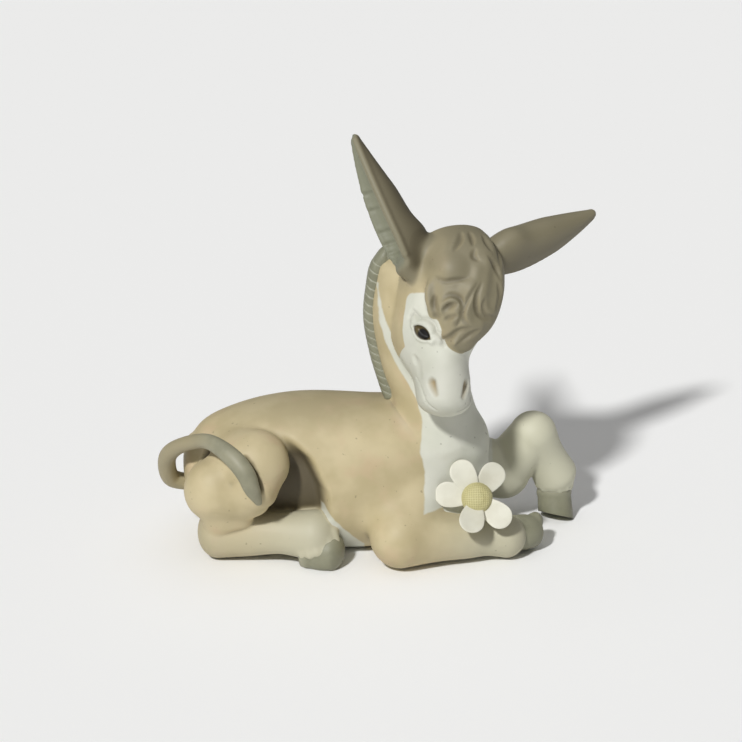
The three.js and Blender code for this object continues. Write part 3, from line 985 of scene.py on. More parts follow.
class Hand(Enum):
    """The foal's two sides, with the direction each lies in along Y."""

    RIGHT = -1
    LEFT = 1

    def piece(self, name: str) -> str:
        """The name of a piece on this side."""
        return f"{self.name.lower()}_{name}"


@dataclass(frozen=True)
class HindLeg:
    """A folded hind leg: thigh, gaskin, and the shank under them on the ground.

    Its sizes are radii, but for the hip's setback from the rump and the tucks: the left leg lies
    further in by left_tuck, and its thigh and web lie lower by shares of that.
    """

    hand: Hand
    hip_setback: float = 23.5
    thigh: float = 12.5
    gaskin: float = 11.9
    hock: float = 9.4
    shank: float = 7.4
    fetlock: float = 8.6
    hoof: float = 7.9
    left_tuck: float = 3.3
    thigh_tuck: float = 1.5
    web_tuck: float = 0.8
    tuft: float = 2.5
    tuft_tip: float = 1.9

    # The tips of the hair over the hoof: ahead of the hip, inside the flank, and up
    TUFTS = [
        (19.5, -2.2, 5.2),
        (22, -3.6, 5.6),
        (24.4, -4, 6.6),
        (26.6, -3.6, 6.4),
        (28.7, -2.2, 8),
        (30.4, -0.4, 9),
    ]

    @property
    def hip_x(self) -> float:
        """Where the hip lies along the trunk."""
        return self.hip_setback - TRUNK.rump_reach

    def at(self, ahead: float, inset: float, height: float, tuck: float = 0.0) -> Point:
        """A place on the leg.

        Args:
            ahead: how far ahead of the hip it lies.
            inset: how far inside the flank it lies.
            height: how high it lies.
            tuck: how much lower it lies on the left leg, as a share of the tuck.

        Returns:
            The place.
        """
        tucked = self.left_tuck if self.hand is Hand.LEFT else 0.0
        aside = self.hand.value * (TRUNK.flank - inset - tucked)
        return (self.hip_x + ahead, aside, height - tuck * tucked)

    def haunch(self) -> list[Roll]:
        """The clay of thigh and gaskin.

        Returns:
            The lobes that are kneaded into one.
        """
        middle = TRUNK.middle
        hip = self.at(-6, 18, middle + 8, self.thigh_tuck)
        stifle = self.at(3, 4.25, middle + 10.9, self.thigh_tuck)
        knee = self.at(3, 0.25, middle + 4.9, self.thigh_tuck)
        buttock = self.at(-9.5, 4.5, middle + 1.4, self.thigh_tuck)
        shin = self.at(1, 1.5, middle - 0.2, self.thigh_tuck)
        hock = self.at(-7.5, 14, middle - 11)
        web_back = self.at(-9, 4.5, middle - 8.2, self.web_tuck)
        web_front = self.at(-2.5, 4.5, middle - 8, self.web_tuck)
        return [
            lobe(web_back, 6.8, web_front, 5.4),
            lobe(hip, self.thigh * 0.9, stifle, self.thigh * 0.96),
            lobe(stifle, self.thigh * 0.96, knee, self.thigh * 0.72, AHEAD),
            lobe(buttock, self.gaskin, shin, self.gaskin * 0.64),
            lobe(buttock, self.gaskin * 0.9, hock, self.gaskin * 0.6, AHEAD),
        ]

    def lower(self) -> list[Roll]:
        """The clay of the shank.

        Returns:
            The shank, and the tufts of hair over the hoof.
        """
        rings = (
            disc(self.at(-10, 10.5, self.hock), self.hock),
            disc(self.at(1, 9, self.hock + 0.3), (self.hock + self.shank) / 2),
            disc(self.at(12, 7, self.hock + 0.9), self.shank),
            disc(self.at(23, 5, self.fetlock + 1.7), self.fetlock * 1.03),
        )
        rolls = [Roll(rings, UP, self.hock * 0.75, self.fetlock * 0.95)]
        for ahead, inset, height in self.TUFTS:
            root = self.at(ahead - 1.2, inset + 3, height + 3.4)
            tip = self.at(ahead, inset + 1.3, height + 0.7)
            rolls.append(lobe(root, self.tuft, tip, self.tuft_tip))
        return rolls

    def hoof_roll(self) -> Roll:
        """The hoof's clay.

        Returns:
            A roll that ends at the toe.
        """
        rings = (
            disc(self.at(20.5, 5, self.hoof * 0.72), self.hoof * 0.88),
            disc(self.at(26, 2.8, self.hoof * 0.68), self.hoof * 0.9),
            disc(self.at(29.5, 1.6, self.hoof * 0.67), self.hoof * 0.84),
        )
        return Roll(rings, UP, 0, 4)


@dataclass(frozen=True)
class RightForeleg:
    """The foreleg that lies along the ground, with the hoof tucked behind the fetlock."""

    elbow_girth: float = 11.0
    forearm: float = 6.6
    fetlock_girth: float = 7.7
    hoof: float = 6.2

    # Where the hoof's toe is drawn out
    TOE = (55, -6, 9)

    @property
    def elbow(self) -> Point:
        """The elbow's middle."""
        return (TRUNK.breast_reach - 31, 1.5 - TRUNK.flank, self.elbow_girth)

    @property
    def fetlock(self) -> Point:
        """The fetlock's middle."""
        return (TRUNK.breast_reach + 5, 10 - TRUNK.flank, self.fetlock_girth)

    def along(self, share: float, height: float) -> Point:
        """A place a share of the way along the forearm, at a height."""
        x, y, _ = mix(self.elbow, self.fetlock, share)
        return (x, y, height)

    def rolls(self) -> list[Roll]:
        """The clay of upper arm and forearm.

        Returns:
            The flesh behind the elbow, the upper arm and the forearm.
        """
        girth = self.elbow_girth
        x, y, _ = self.elbow
        shoulder = (x + 6, y + 13, TRUNK.middle + 4)
        arm = (
            Ring(shoulder, girth, girth * 0.7, girth * 0.7),
            Ring((x + 3, y + 6, girth + 9), girth, girth * 0.75, girth * 0.75),
            disc(self.elbow, girth),
        )
        forearm = (
            disc(self.elbow, girth * 0.98),
            disc(self.along(0.35, girth * 0.88), girth * 0.77),
            disc(self.along(0.64, self.forearm + 1.9), (girth + 5 * self.forearm) / 6),
            disc(self.along(0.82, self.forearm + 1.2), self.forearm * 0.97),
            disc(self.fetlock, self.fetlock_girth),
        )
        return [
            lobe((x - 6, y + 11, girth + 8), girth * 1.15, (x + 2, y + 9, girth + 6), girth * 1.15),
            Roll(arm, LEFT, girth * 0.8, girth * 0.95),
            Roll(forearm, UP, girth * 0.95, self.fetlock_girth * 0.95),
        ]

    def hoof_roll(self) -> Roll:
        """The hoof's clay.

        Returns:
            A roll that ends at the toe.
        """
        x, y, z = self.fetlock
        rings = (
            disc((x + 1, y + 2.5, z - 0.4), self.hoof * 0.95),
            disc((x + 6.5, y + 5.5, z - 1), self.hoof),
            disc((x + 9.8, y + 8, z - 2), self.hoof * 0.88),
        )
        return Roll(rings, UP, 0, 1.5)


@dataclass(frozen=True)
class LeftForeleg:
    """The raised foreleg, with the knee up and the hoof set down on its outer edge."""

    knee_girth: float = 8.5
    knee_height: float = 31.0
    cannon: float = 7.2
    fetlock_girth: float = 7.9
    hoof: float = 6.2
    hoof_height: float = 11.0
    fringe: float = 2.3
    fringe_tip: float = 1.6

    # The tips of the hair over the hoof: ahead of the fetlock, out from it, and further down
    FRINGE = [
        (-5.4, 3.4, 0),
        (-3.6, 5.6, 0.7),
        (-1.3, 6.5, 0.2),
        (1.4, 6.4, 0.9),
        (3.8, 5.4, 0.3),
        (5, 3.2, 1.2),
    ]
    # The direction down through the sole
    SOLE = (-0.203, -0.355, -0.912)

    @property
    def fetlock(self) -> Point:
        """The fetlock's middle."""
        return (TRUNK.breast_reach + 23.4, TRUNK.flank - 5.5, self.hoof_height + 4.8)

    @property
    def knee(self) -> Point:
        """The knee's middle."""
        return (TRUNK.breast_reach + 15.5, TRUNK.flank - 8.5, self.knee_height + 1)

    def rolls(self) -> list[Roll]:
        """The clay of forearm, knee and cannon.

        Returns:
            These, and the fringe of hair over the hoof.
        """
        girth = self.knee_girth
        shoulder = (TRUNK.breast_reach - 14, TRUNK.flank - 15, TRUNK.middle)
        elbow = (TRUNK.breast_reach + 5, TRUNK.flank - 8, TRUNK.middle - 8.4)
        cannon = (
            disc(self.knee, girth),
            disc(mix(self.knee, self.fetlock, 0.5), self.cannon),
            disc(self.fetlock, self.fetlock_girth),
        )
        rolls = [
            lobe(shoulder, girth * 1.35, elbow, girth * 1.14),
            lobe(elbow, girth * 1.08, self.knee, girth * 0.97, LEFT),
            Roll(cannon, LEFT, girth, self.fetlock_girth * 0.8),
        ]
        x, y, z = self.fetlock
        for ahead, out, drop in self.FRINGE:
            root = (x + ahead, y - out + 2.6, z + 0.5)
            tip = (x + ahead, y - out + 1.5, z - 3.4 - 0.7 * drop)
            rolls.append(lobe(root, self.fringe, tip, self.fringe_tip))
        return rolls

    def hoof_roll(self) -> Roll:
        """The hoof's clay.

        Returns:
            A roll that ends at the sole.
        """
        x, y, _ = self.fetlock
        top = (x - 0.2, y + 0.5, self.hoof_height)
        sole = (x + 0.5, y - 2.6, self.hoof_height * 0.12)
        rings = (
            disc(top, self.hoof * 0.97),
            disc(mix(top, sole, 0.55), self.hoof),
            disc(sole, self.hoof * 1.03),
        )
        return Roll(rings, AHEAD, square=self.SOLE)


@dataclass(frozen=True)
class Neck:
    """The neck, and the crest that the mane stands on."""

    height: float = 97.0
    depth: float = 28.5
    width: float = 26.0

    # The white's border ahead of the fawn: heights, and how far along it lies there
    BIB_HEIGHTS = [10, 26, 33, 36, 39.5, 46, 51.4, 57.8, 62.8, 69.2, 76.3, 83.5, 95.6]
    BIB_BORDER = [16, 15.9, 16.2, 15.6, 14.5, 15.2, 15.2, 13.3, 10.6, 6.4, 2.8, 0.5, -0.3]
    # The same for the white's border behind the cheek
    CHEEK_HEIGHTS = [68, 71, 74.2, 79.2, 85.6, 94.1]
    CHEEK_BORDER = [40, 13, 8, 5.1, 2.2, 0.2]

    def rings(self) -> tuple[Ring, ...]:
        """The neck's sections, from its root in the trunk up to the head.

        Returns:
            The sections, the lowest first.
        """
        root = TRUNK.height
        # Places ahead, aside and up, and shares of the width, and of the depth behind and in front
        stations = [
            (5.5, 0, root - 14, 0.66, 0.6, 0.58),
            (4.8, 0, root + 3, 0.57, 0.54, 0.41),
            (0.5, 1, root + 16, 0.52, 0.53, 0.4),
            (-3, 2.5, self.height - 13, 0.5, 0.5, 0.46),
            (-1, 4, self.height, 0.48, 0.5, 0.43),
        ]
        x = TRUNK.breast_reach - 24
        return tuple(
            Ring((x + ahead, aside, z), self.width * wide, self.depth * back, self.depth * front)
            for ahead, aside, z, wide, back, front in stations
        )

    def rolls(self) -> list[Roll]:
        """The neck's clay."""
        return [Roll(self.rings(), BACK, 8, 7, segments=56)]

    def bib(self, x: Array, z: Array) -> Array:
        """How far inside the white of the throat and breast a place lies.

        It starts as a thin stripe behind the cheek and widens down to the breast.

        Args:
            x: how far ahead each place lies.
            z: how high it lies.

        Returns:
            About the distance in mm, below zero outside.
        """
        ahead = x - np.interp(z, self.BIB_HEIGHTS, self.BIB_BORDER)
        behind = np.interp(z, self.CHEEK_HEIGHTS, self.CHEEK_BORDER) - x
        below = self.BIB_HEIGHTS[-1] - z
        return np.minimum.reduce([ahead, behind, below]) * 0.85


@dataclass(frozen=True)
class Head:
    """The head, in its own frame: x to the foal's left, -y out of the face, +z to the crown.

    Its turns are in degrees. The brow's sizes are shares of the head's length.
    """

    length: float = 63.0
    width: float = 33.5
    muzzle: float = 19.0
    cheek: float = 38.0
    yaw: float = 15.0
    nod: float = 25.0
    roll: float = 9.0
    lean: float = -0.3
    eye_length: float = 3.5
    eye_height: float = 1.65
    eye_depth: float = 1.1
    eye_tilt: float = 36.0
    eye_field: float = 11.0
    eye_mound: float = 0.9
    mound_reach: float = 8.0
    lid: float = 0.9
    lid_crease: float = 0.55
    nostril_depth: float = 1.6
    nostril_reach: float = 2.5
    nostril_taper: float = 0.9
    brow_top: float = 0.16
    brow_round: float = 0.2
    mask_top: float = -14.2
    mask_corner: float = 3.0

    # The direction that an eye looks in: its parts aside and ahead
    GAZE_ASIDE = 0.62
    GAZE_AHEAD = 0.78
    # The left eye sits further round the face and higher
    LEFT_EYE_SHIFT = (1.6, 1.2, 2.0)
    # Lines on the right of the face, each with its half width and depth: mouth, corner and dimple
    LINES = [
        ([(-10.3, -0.7, -42.1), (-9.3, -3.9, -46.8), (-7.4, -5.8, -51.2), (-4.3, -6.4, -54.3)], 0.6, 0.5),
        ([(-10.5, -4.1, -37.0), (-9.6, -3.6, -42.3)], 2.3, 0.3),
        ([(-11.2, -3.0, -36.0), (-10.9, -3.0, -36.8)], 1.8, 0.6),
    ]
    NOSTRIL = [(-6.6, -8.1, -44.4), (-5.2, -9.2, -48.4)]
    # The mask's border on the cheek: heights, and how far behind the axis it lies there
    MASK_HEIGHTS = [-60, -40, -36, -34, -32, -27, -16]
    MASK_BORDER = [60, 40, 16, 7, 0.4, 0.1, -1.2]

    @property
    def frame(self) -> Array:
        """The matrix from the head's frame to the figurine's."""
        origin = (TRUNK.breast_reach - 14.5, -3, Neck().height + 9.5)
        return frame_of(origin, self.yaw, -self.nod, self.roll)

    @property
    def half(self) -> float:
        """Half the head's width."""
        return self.width / 2

    @property
    def face(self) -> float:
        """How far the face stands in front of the head's axis."""
        return self.cheek * 0.33

    def z(self, share: float) -> float:
        """The height a share of the way from crown to chin."""
        return self.length * (0.125 - share)

    def slice(self, share: float, half: float, middle: float, front: float, back: float,
              aside: float = 0.0) -> Ring:
        """A section across the head.

        Args:
            share: how far down the head it lies.
            half: its half width.
            middle: how far its widest part sits behind the axis.
            front: how far it reaches in front of the axis.
            back: how far it reaches behind the axis.
            aside: how far it leans to the left.

        Returns:
            The section.
        """
        return Ring((aside, middle, self.z(share)), half, front + middle, back - middle)

    def rolls(self) -> list[Roll]:
        """The head's clay.

        Returns:
            One roll, from the crown to the muzzle.
        """
        half, face, cheek, muzzle = self.half, self.face, self.cheek, self.muzzle / 2
        jaw = cheek * 0.24
        rings = (
            self.slice(0.1, half * 0.7, 5, face * 0.6, cheek * 0.44),
            self.slice(0.22, half * 0.94, 6, face * 0.95, cheek * 0.56),
            self.slice(0.4, half, jaw, face * 1.05, cheek * 0.66),
            self.slice(0.56, half * 0.88, jaw, face * 1.02, cheek * 0.66, -1.9),
            self.slice(0.68, half * 0.68, 7, face * 0.97, cheek * 0.56, -2.3),
            self.slice(0.8, muzzle * 1.02, 2, face * 0.88, cheek * 0.36, -0.6),
            self.slice(0.91, muzzle * 0.98, 0, face * 0.84, cheek * 0.24),
        )
        caps = (self.length * 0.1, self.length * 0.09)
        return [Roll(rings, FACE, *caps, square=DOWN, segments=56)]

    def brow(self, side: float, share: float, proud: float) -> Point:
        """A place on the brow, proud of it by some distance."""
        short = min(1.0, (self.brow_top - min(share, self.brow_top)) / self.brow_round)
        return (side, -(self.face * math.sqrt(1 - short**2) + proud), self.z(share))

    def eye_frame(self, hand: Hand) -> Array:
        """The frame of an eye: x along the slit to the inner corner, y out of the face, z up.

        Args:
            hand: the side of the face.

        Returns:
            Its matrix in the head's frame.
        """
        out = np.array((hand.value * self.GAZE_ASIDE, -self.GAZE_AHEAD, 0.0))
        inward = np.array((-hand.value * self.GAZE_AHEAD, -self.GAZE_ASIDE, 0.0))
        up = np.array(UP)
        tilt = math.radians(self.eye_tilt)
        matrix = np.eye(4)
        matrix[:3, 0] = inward * math.cos(tilt) - up * math.sin(tilt)
        matrix[:3, 1] = out
        matrix[:3, 2] = inward * math.sin(tilt) + up * math.cos(tilt)
        matrix[:3, 3] = (hand.value * self.half * 0.55 - 0.9, -8.5, self.z(0.566))
        if hand is Hand.LEFT:
            matrix[:3, 3] += self.LEFT_EYE_SHIFT
        return matrix

    def carve_eye(self, surface: Surface, hand: Hand, hair: Array) -> None:
        """Models the lids round an almond slit, and the ball of the eye in it.

        Args:
            surface: the skin.
            hand: which eye it is.
            hair: how much of the skin is hair.
        """
        local = inside(inside(surface.points, self.frame), self.eye_frame(hand))
        near = np.flatnonzero((np.linalg.norm(local, axis=1) < self.eye_field) & (local[:, 1] > -5))
        along, _, rise = local[near].T
        half_width = np.where(rise > 0, self.eye_height * 1.05, self.eye_height * 0.95)
        lens = half_width * np.clip(1 - (along / self.eye_length) ** 2, 0, 1) ** 0.75
        slit = np.minimum(lens - np.abs(rise), (self.eye_length - np.abs(along)) * 0.7)
        upper = ramp(rise, -0.5, 1.0)
        mound = self.eye_mound * fade(np.hypot(along, rise), self.mound_reach)
        hollow = -self.eye_depth * ramp(slit, -0.1, 0.9)
        lid = self.lid * fade(slit + 0.8, 0.9) + self.lid * upper * fade(slit + 1.7, 1.3)
        crease = -self.lid_crease * upper * fade(slit + 3.3, 1.0)
        amount = np.zeros(len(surface.points))
        bare = ramp(1 - hair[near], 0.3, 0.8)
        slit = np.where(bare > 0.5, slit, OUTSIDE)
        amount[near] = (mound + hollow + lid + crease) * bare
        surface.push(amount)
        eye = surface.layer("eye", OUTSIDE)
        eye[near] = np.maximum(eye[near], slit)
        pupil = surface.layer("pupil", OUTSIDE)
        dark = 1.5 * (1 - np.hypot((along - 0.4) / 2.3, (rise + 0.2) / 1.5))
        pupil[near] = np.maximum(pupil[near], dark)

    def on_side(self, line: list[Point], hand: Hand) -> Array:
        """A line of the right of the face, on one side of it, in the figurine's frame.

        Args:
            line: places in the head's frame.
            hand: the side of the face.

        Returns:
            One place a row.
        """
        path = np.array(line)
        path[:, 0] = self.lean - hand.value * (path[:, 0] - self.lean)
        return carried(path, self.frame)

    def carve(self, surface: Surface, hair: Array) -> None:
        """Models the eyes, nostrils, mouth and cheeks.

        Args:
            surface: the skin.
            hair: how much of it is hair.
        """
        for hand in Hand:
            self.carve_eye(surface, hand, hair)
            for line, width, depth in self.LINES:
                surface.groove(self.on_side(line, hand), width, depth)
            top, foot = surface.snap(self.on_side(self.NOSTRIL, hand))
            run = foot - top
            share = np.clip((surface.points - top) @ run / (run @ run), 0, 1)
            distance = np.linalg.norm(surface.points - top - share[:, None] * run, axis=1)
            reach = self.nostril_reach - self.nostril_taper * share
            bowl = fade(distance / reach, 1.0) * (1 - 0.65 * share)
            surface.push(-self.nostril_depth * bowl)
            layer = surface.layer("nostril")
            layer[:] = np.maximum(layer, 0.9 * fade(distance / reach, 0.9) * (1 - 0.55 * share))

    def mask(self, points: Array) -> Array:
        """How far inside the white of the face a place lies.

        Args:
            points: the places, in the figurine's frame.

        Returns:
            The distance in mm, below zero outside.
        """
        _, y, z = inside(points, self.frame).T
        before = np.interp(z, self.MASK_HEIGHTS, self.MASK_BORDER) - y
        below = self.mask_top - z
        corner = self.mask_corner
        return corner - np.hypot(np.maximum(corner - before, 0), np.maximum(corner - below, 0))


HEAD = Head()


@dataclass(frozen=True)
class Forelock:
    """The thick curly hair over the brow, in the head's frame.

    Lines over the brow are lists of places, aside and up.
    """

    width: float = 27.0
    thickness: float = 6.0
    root: float = 3.0
    strand_width: float = 1.5
    strand_depth: float = 0.8
    # How dark the painted shade in the strands is
    strand_shade: float = 0.3
    lock_sink: float = 0.4

    # Locks that stand out, each with its girth at both ends
    LOCKS = [
        ([(-9.4, -11), (-9.6, -16), (-7.6, -21)], 1.6, 1.9),
        ([(-6.3, -20.5), (-5, -17.4), (-2.6, -16.8), (-1, -19), (-1.6, -23.5)], 1.5, 1.8),
        ([(5.5, -6), (4, -13), (2, -20), (3, -24)], 2.3, 2.0),
        ([(8.5, -4), (7.6, -12), (7, -18), (10.5, -20.5)], 2.5, 1.8),
        ([(13, -7), (13.6, -14), (11.5, -19.5)], 2.0, 1.6),
        ([(7, -24.3), (1.5, -25.6), (-5, -29)], 2.4, 0.9),
        ([(6.6, -25.8), (3.8, -28.6), (-0.6, -31.2)], 2.2, 1.2),
    ]
    # Soft swellings of the cap, each with its reach and height
    SWELLS = [((-3.5, -6), 7, 1.5), ((8, -1), 6, 0.8), ((2, -12.5), 4, 0.7)]
    # Strands that are drawn into the hair, and the steps between two of their points
    STRAND_STEPS = 10
    STRANDS = [
        [(1.5, 7.1), (0.1, 4), (-2.5, 0)],
        [(4.3, 7.4), (4.3, 5), (4, 2.2)],
        [(8.7, 6.4), (9.4, 3.5), (10.7, 0.7)],
        [(12.1, 6.1), (13.6, 2.5), (14, -3.8)],
        [(4.6, 1.2), (4, -1.7), (5.8, -3.1)],
        [(9.2, -1.2), (11.8, -4.6), (13.9, -9)],
        [(-8.3, -9.4), (-5.3, -10.8), (-2, -10.2), (1.6, -9.4)],
        [(5.1, -10.8), (2.7, -15.4), (0.7, -20), (0.9, -22.9), (3.5, -25.3)],
        [(-6.3, -17.8), (-5, -16), (-3, -15.2), (-0.5, -16.3), (0.6, -19), (0.4, -22.4), (-0.9, -25.8)],
        [(-5.7, -20.5), (-3.5, -18.9), (-0.9, -18.1)],
        [(-4.6, -23.8), (-2.7, -22.6), (-0.8, -22.5)],
        [(-7.9, -15.3), (-8.3, -18.2), (-7.5, -21.2), (-5.8, -23.1)],
        [(4.4, -25.8), (0.2, -27), (-2.8, -29.3), (-5.7, -30)],
        [(7, -26.3), (3, -29), (-0.1, -31.8)],
        [(6.6, -10.7), (5, -15.2), (5.5, -19.6), (7.3, -21.9), (12.3, -22.6)],
        [(8.2, -15.5), (7.6, -19), (9.5, -21.7), (13.1, -21.3)],
        [(12.9, -10.1), (13.9, -14.4), (12.8, -19.2)],
    ]

    def cap(self) -> Roll:
        """The cap of hair that the locks lie on.

        Returns:
            A roll in the head's frame, from the crown down.
        """
        # Aside, down the head, proud of the brow, and shares of the width, thickness and root
        stations = [
            (0.8, 0.035, -9, 0.41, 0.8, 3.5),
            (2.2, 0.14, -3, 0.47, 1, 4),
            (3.8, 0.28, -0.5, 0.47, 1, 3),
            (3.2, 0.46, -0.5, 0.4, 1, 2),
            (1.6, 0.6, -1, 0.21, 0.6, 1.2),
        ]
        rings = tuple(
            Ring(HEAD.brow(side, share, proud), self.width * wide, self.thickness * thick, self.root * deep)
            for side, share, proud, wide, thick, deep in stations
        )
        return Roll(rings, FACE, 4, 4)

    def on_cap(self, aside: float, z: float) -> Point:
        """The place on the cap of hair that lies aside and up by these distances.

        Args:
            aside: the distance aside.
            z: the distance up.

        Returns:
            The place, in the head's frame.
        """
        places, sizes = self.cap().spine()
        order = np.argsort(places[:, 2])
        columns = np.hstack([places, sizes])[order]
        middle, back, _, half, lift, _ = (np.interp(z, columns[:, 2], c) for c in columns.T)
        off = min(1.0, abs(aside - middle) / half)
        return (aside, float(back - lift * math.sqrt(1 - off**2)), z)

    def lock(self, line: list[tuple[float, float]], start: float, end: float) -> Roll:
        """A roll of hair along a line over the brow.

        Args:
            line: the line.
            start: its girth at the start.
            end: its girth at the end.

        Returns:
            The roll.
        """
        girths = np.linspace(start, end, len(line))
        rings = []
        for place, girth in zip(line, girths):
            x, y, z = self.on_cap(*place)
            rings.append(disc((x, y + self.lock_sink * girth, z), girth))
        return Roll(tuple(rings), FACE, start, end, segments=24)

    def rolls(self) -> list[Roll]:
        """The forelock's clay."""
        return [self.cap(), *(self.lock(*lock) for lock in self.LOCKS)]

    def carve(self, surface: Surface, share: Array) -> None:
        """Draws the strands into the hair and darkens them with painted shade.

        Args:
            surface: the skin.
            share: how much of it is the forelock.
        """
        for place, reach, height in self.SWELLS:
            swell = carried(np.array([self.on_cap(*place)]), HEAD.frame)[0]
            surface.press(swell, reach, -height)
        near = np.flatnonzero(share > 0.3)
        flat = inside(surface.points[near], HEAD.frame)[:, [0, 2]]
        facing = ramp(-(surface.normals[near] @ HEAD.frame[:3, 1]), -0.2, 0.2)
        drawn = np.zeros(len(near))
        for strand in self.STRANDS:
            line = spline(np.array(strand, float), self.STRAND_STEPS)
            gaps = np.linalg.norm(flat[:, None] - line[None], axis=2)
            swell = np.sin(math.pi * (gaps.argmin(axis=1) + 0.5) / len(line)) ** 0.6
            width = self.strand_width * (0.4 + 0.6 * swell)
            drawn = np.maximum(drawn, swell * fade(gaps.min(axis=1) / width, 1))
        amount = np.zeros(len(surface.points))
        amount[near] = drawn * facing
        surface.push(-self.strand_depth * amount)
        # The strands are darkened with painted shade
        surface.layers["wash"] = np.maximum(surface.layer("wash"), self.strand_shade * amount)


@dataclass(frozen=True)
class Ear:
    """A long ear in the head's frame, hollowed on its open side, with a rolled rim.

    Attributes:
        base: the pointed foot of the leaf.
        tip: its tip.
        opening: the direction that its hollow faces.
        width: the leaf's width.
        depth: its depth.
        wall: how thick it is where it is hollowed.
        rim: the radius of its rim.
        near_rim: the radius of the rim on the side of the face.
        bow: how far the leaf bends towards its open side.
        fold: the depth of the folds inside it.
        fold_width: their half width.
        fold_slant: how far they slant over half the leaf's width.
        folds: how far along they lie.
    """

    base: Point
    tip: Point
    opening: Point
    width: float = 14.0
    depth: float = 10.5
    wall: float = 2.2
    rim: float = 0.9
    near_rim: float = 0.9
    bow: float = 2.0
    fold: float = 0.3
    fold_width: float = 1.1
    fold_slant: float = 1.2
    folds: tuple[float, ...] = ()

    # The leaf's sections: how far along, how wide, how deep, and how far they are hollowed
    LEAF = [
        (0.0, 0.3, 0.3, 0.0),
        (0.09, 0.68, 0.8, 0.0),
        (0.16, 0.9, 1.12, 0.3),
        (0.26, 1.02, 1.24, 0.55),
        (0.4, 1.03, 1.02, 0.55),
        (0.58, 0.92, 0.86, 0.55),
        (0.7, 0.76, 0.67, 0.5),
        (0.84, 0.51, 0.42, 0.5),
        (0.95, 0.27, 0.22, 0.5),
    ]

    @property
    def length(self) -> float:
        """The ear's length."""
        return math.dist(self.base, self.tip)

    @property
    def axis(self) -> Array:
        """The direction that the ear points in."""
        return unit(np.subtract(self.tip, self.base))

    @property
    def open(self) -> Array:
        """The direction that the ear's hollow faces."""
        opening = np.array(self.opening)
        return unit(opening - self.axis * (opening @ self.axis))

    @property
    def across(self) -> Array:
        """The direction across the ear."""
        return np.cross(self.axis, self.open)

    def at(self, share: float) -> Array:
        """A place on the ear's bowed middle, a share of the way from the foot to the tip."""
        bow = self.open * self.bow * math.sin(math.pi * share)
        return np.array(self.base) + self.axis * share * self.length + bow

    def rolls(self) -> list[Roll]:
        """The clay of the leaf and of its two rims.

        Returns:
            The leaf, and then the rims.
        """
        leaf = []
        rims: dict[int, list[Ring]] = {-1: [], 1: []}
        girths = {-1: self.rim, 1: self.near_rim}
        for share, wide, deep, hollow in self.LEAF:
            side = self.width / 2 * wide
            back = self.depth * deep
            wall = min(self.wall, back * 0.7)
            front = back * 0.35 * (1 - hollow) + (wall - back) * hollow
            leaf.append(Ring(tuple(self.at(share)), side, front, back))
            for way, rim in rims.items():
                girth = min(girths[way], side * 0.8)
                edge = self.at(share) + self.across * way * (side - girth * 0.75)
                rim.append(disc(tuple(edge), girth))
        rolls = [Roll(tuple(leaf), tuple(self.open), 1.5, 2.2, wall=self.wall * 0.75, segments=64)]
        for way, rim in rims.items():
            rolls.append(Roll(tuple(rim[2:]), tuple(self.open), girths[way], self.rim, segments=24))
        return rolls

    def carve(self, surface: Surface, share: Array) -> None:
        """Models the folds inside the ear and lays its grey lining.

        Args:
            surface: the skin.
            share: how much of it is this ear.
        """
        near = np.flatnonzero(share > 0.3)
        local = inside(surface.points[near], HEAD.frame) - np.array(self.base)
        facing = surface.normals[near] @ (HEAD.frame[:3, :3] @ self.open)
        along = local @ self.axis / self.length
        aside = local @ self.across / (self.width / 2)
        within = ramp(facing, 0.1, 0.4) * ramp(along, 0.06, 0.14) * ramp(local @ self.open, -7, -5.5)
        amount = np.zeros(len(surface.points))
        for fold in self.folds:
            off = (along - fold) * self.length + self.fold_slant * aside
            reach = ramp(-aside, 0.15, 0.5) * ramp(aside, -1.0, -0.8) * within
            crease = fade(off, self.fold_width) - 0.4 * fade(off - 1.6, 1.3)
            amount[near] -= self.fold * crease * reach
        surface.push(amount)
        lining = surface.layer("lining")
        stations, wides = np.array(self.LEAF).T[:2]
        bare = ramp(aside / np.interp(along, stations, wides), 0.6, 0.95) * (self.near_rim > self.rim)
        grey = within * ramp(share[near], 0.5, 0.8) * (1 - 0.8 * bare)
        lining[near] = np.maximum(lining[near], grey)


FOLDS = (0.15, 0.2, 0.26, 0.34, 0.49, 0.6)
RIGHT_EAR = Ear((-14.0, -5, -10.2), (-35.7, 1, 39.5), (-0.912, -0.172, -0.372), near_rim=1.5, folds=FOLDS)
LEFT_EAR = Ear((9.2, 3.5, -3.5), (56.7, 19, 20.6), (0, 0.9, -0.45))


# The foal's skin

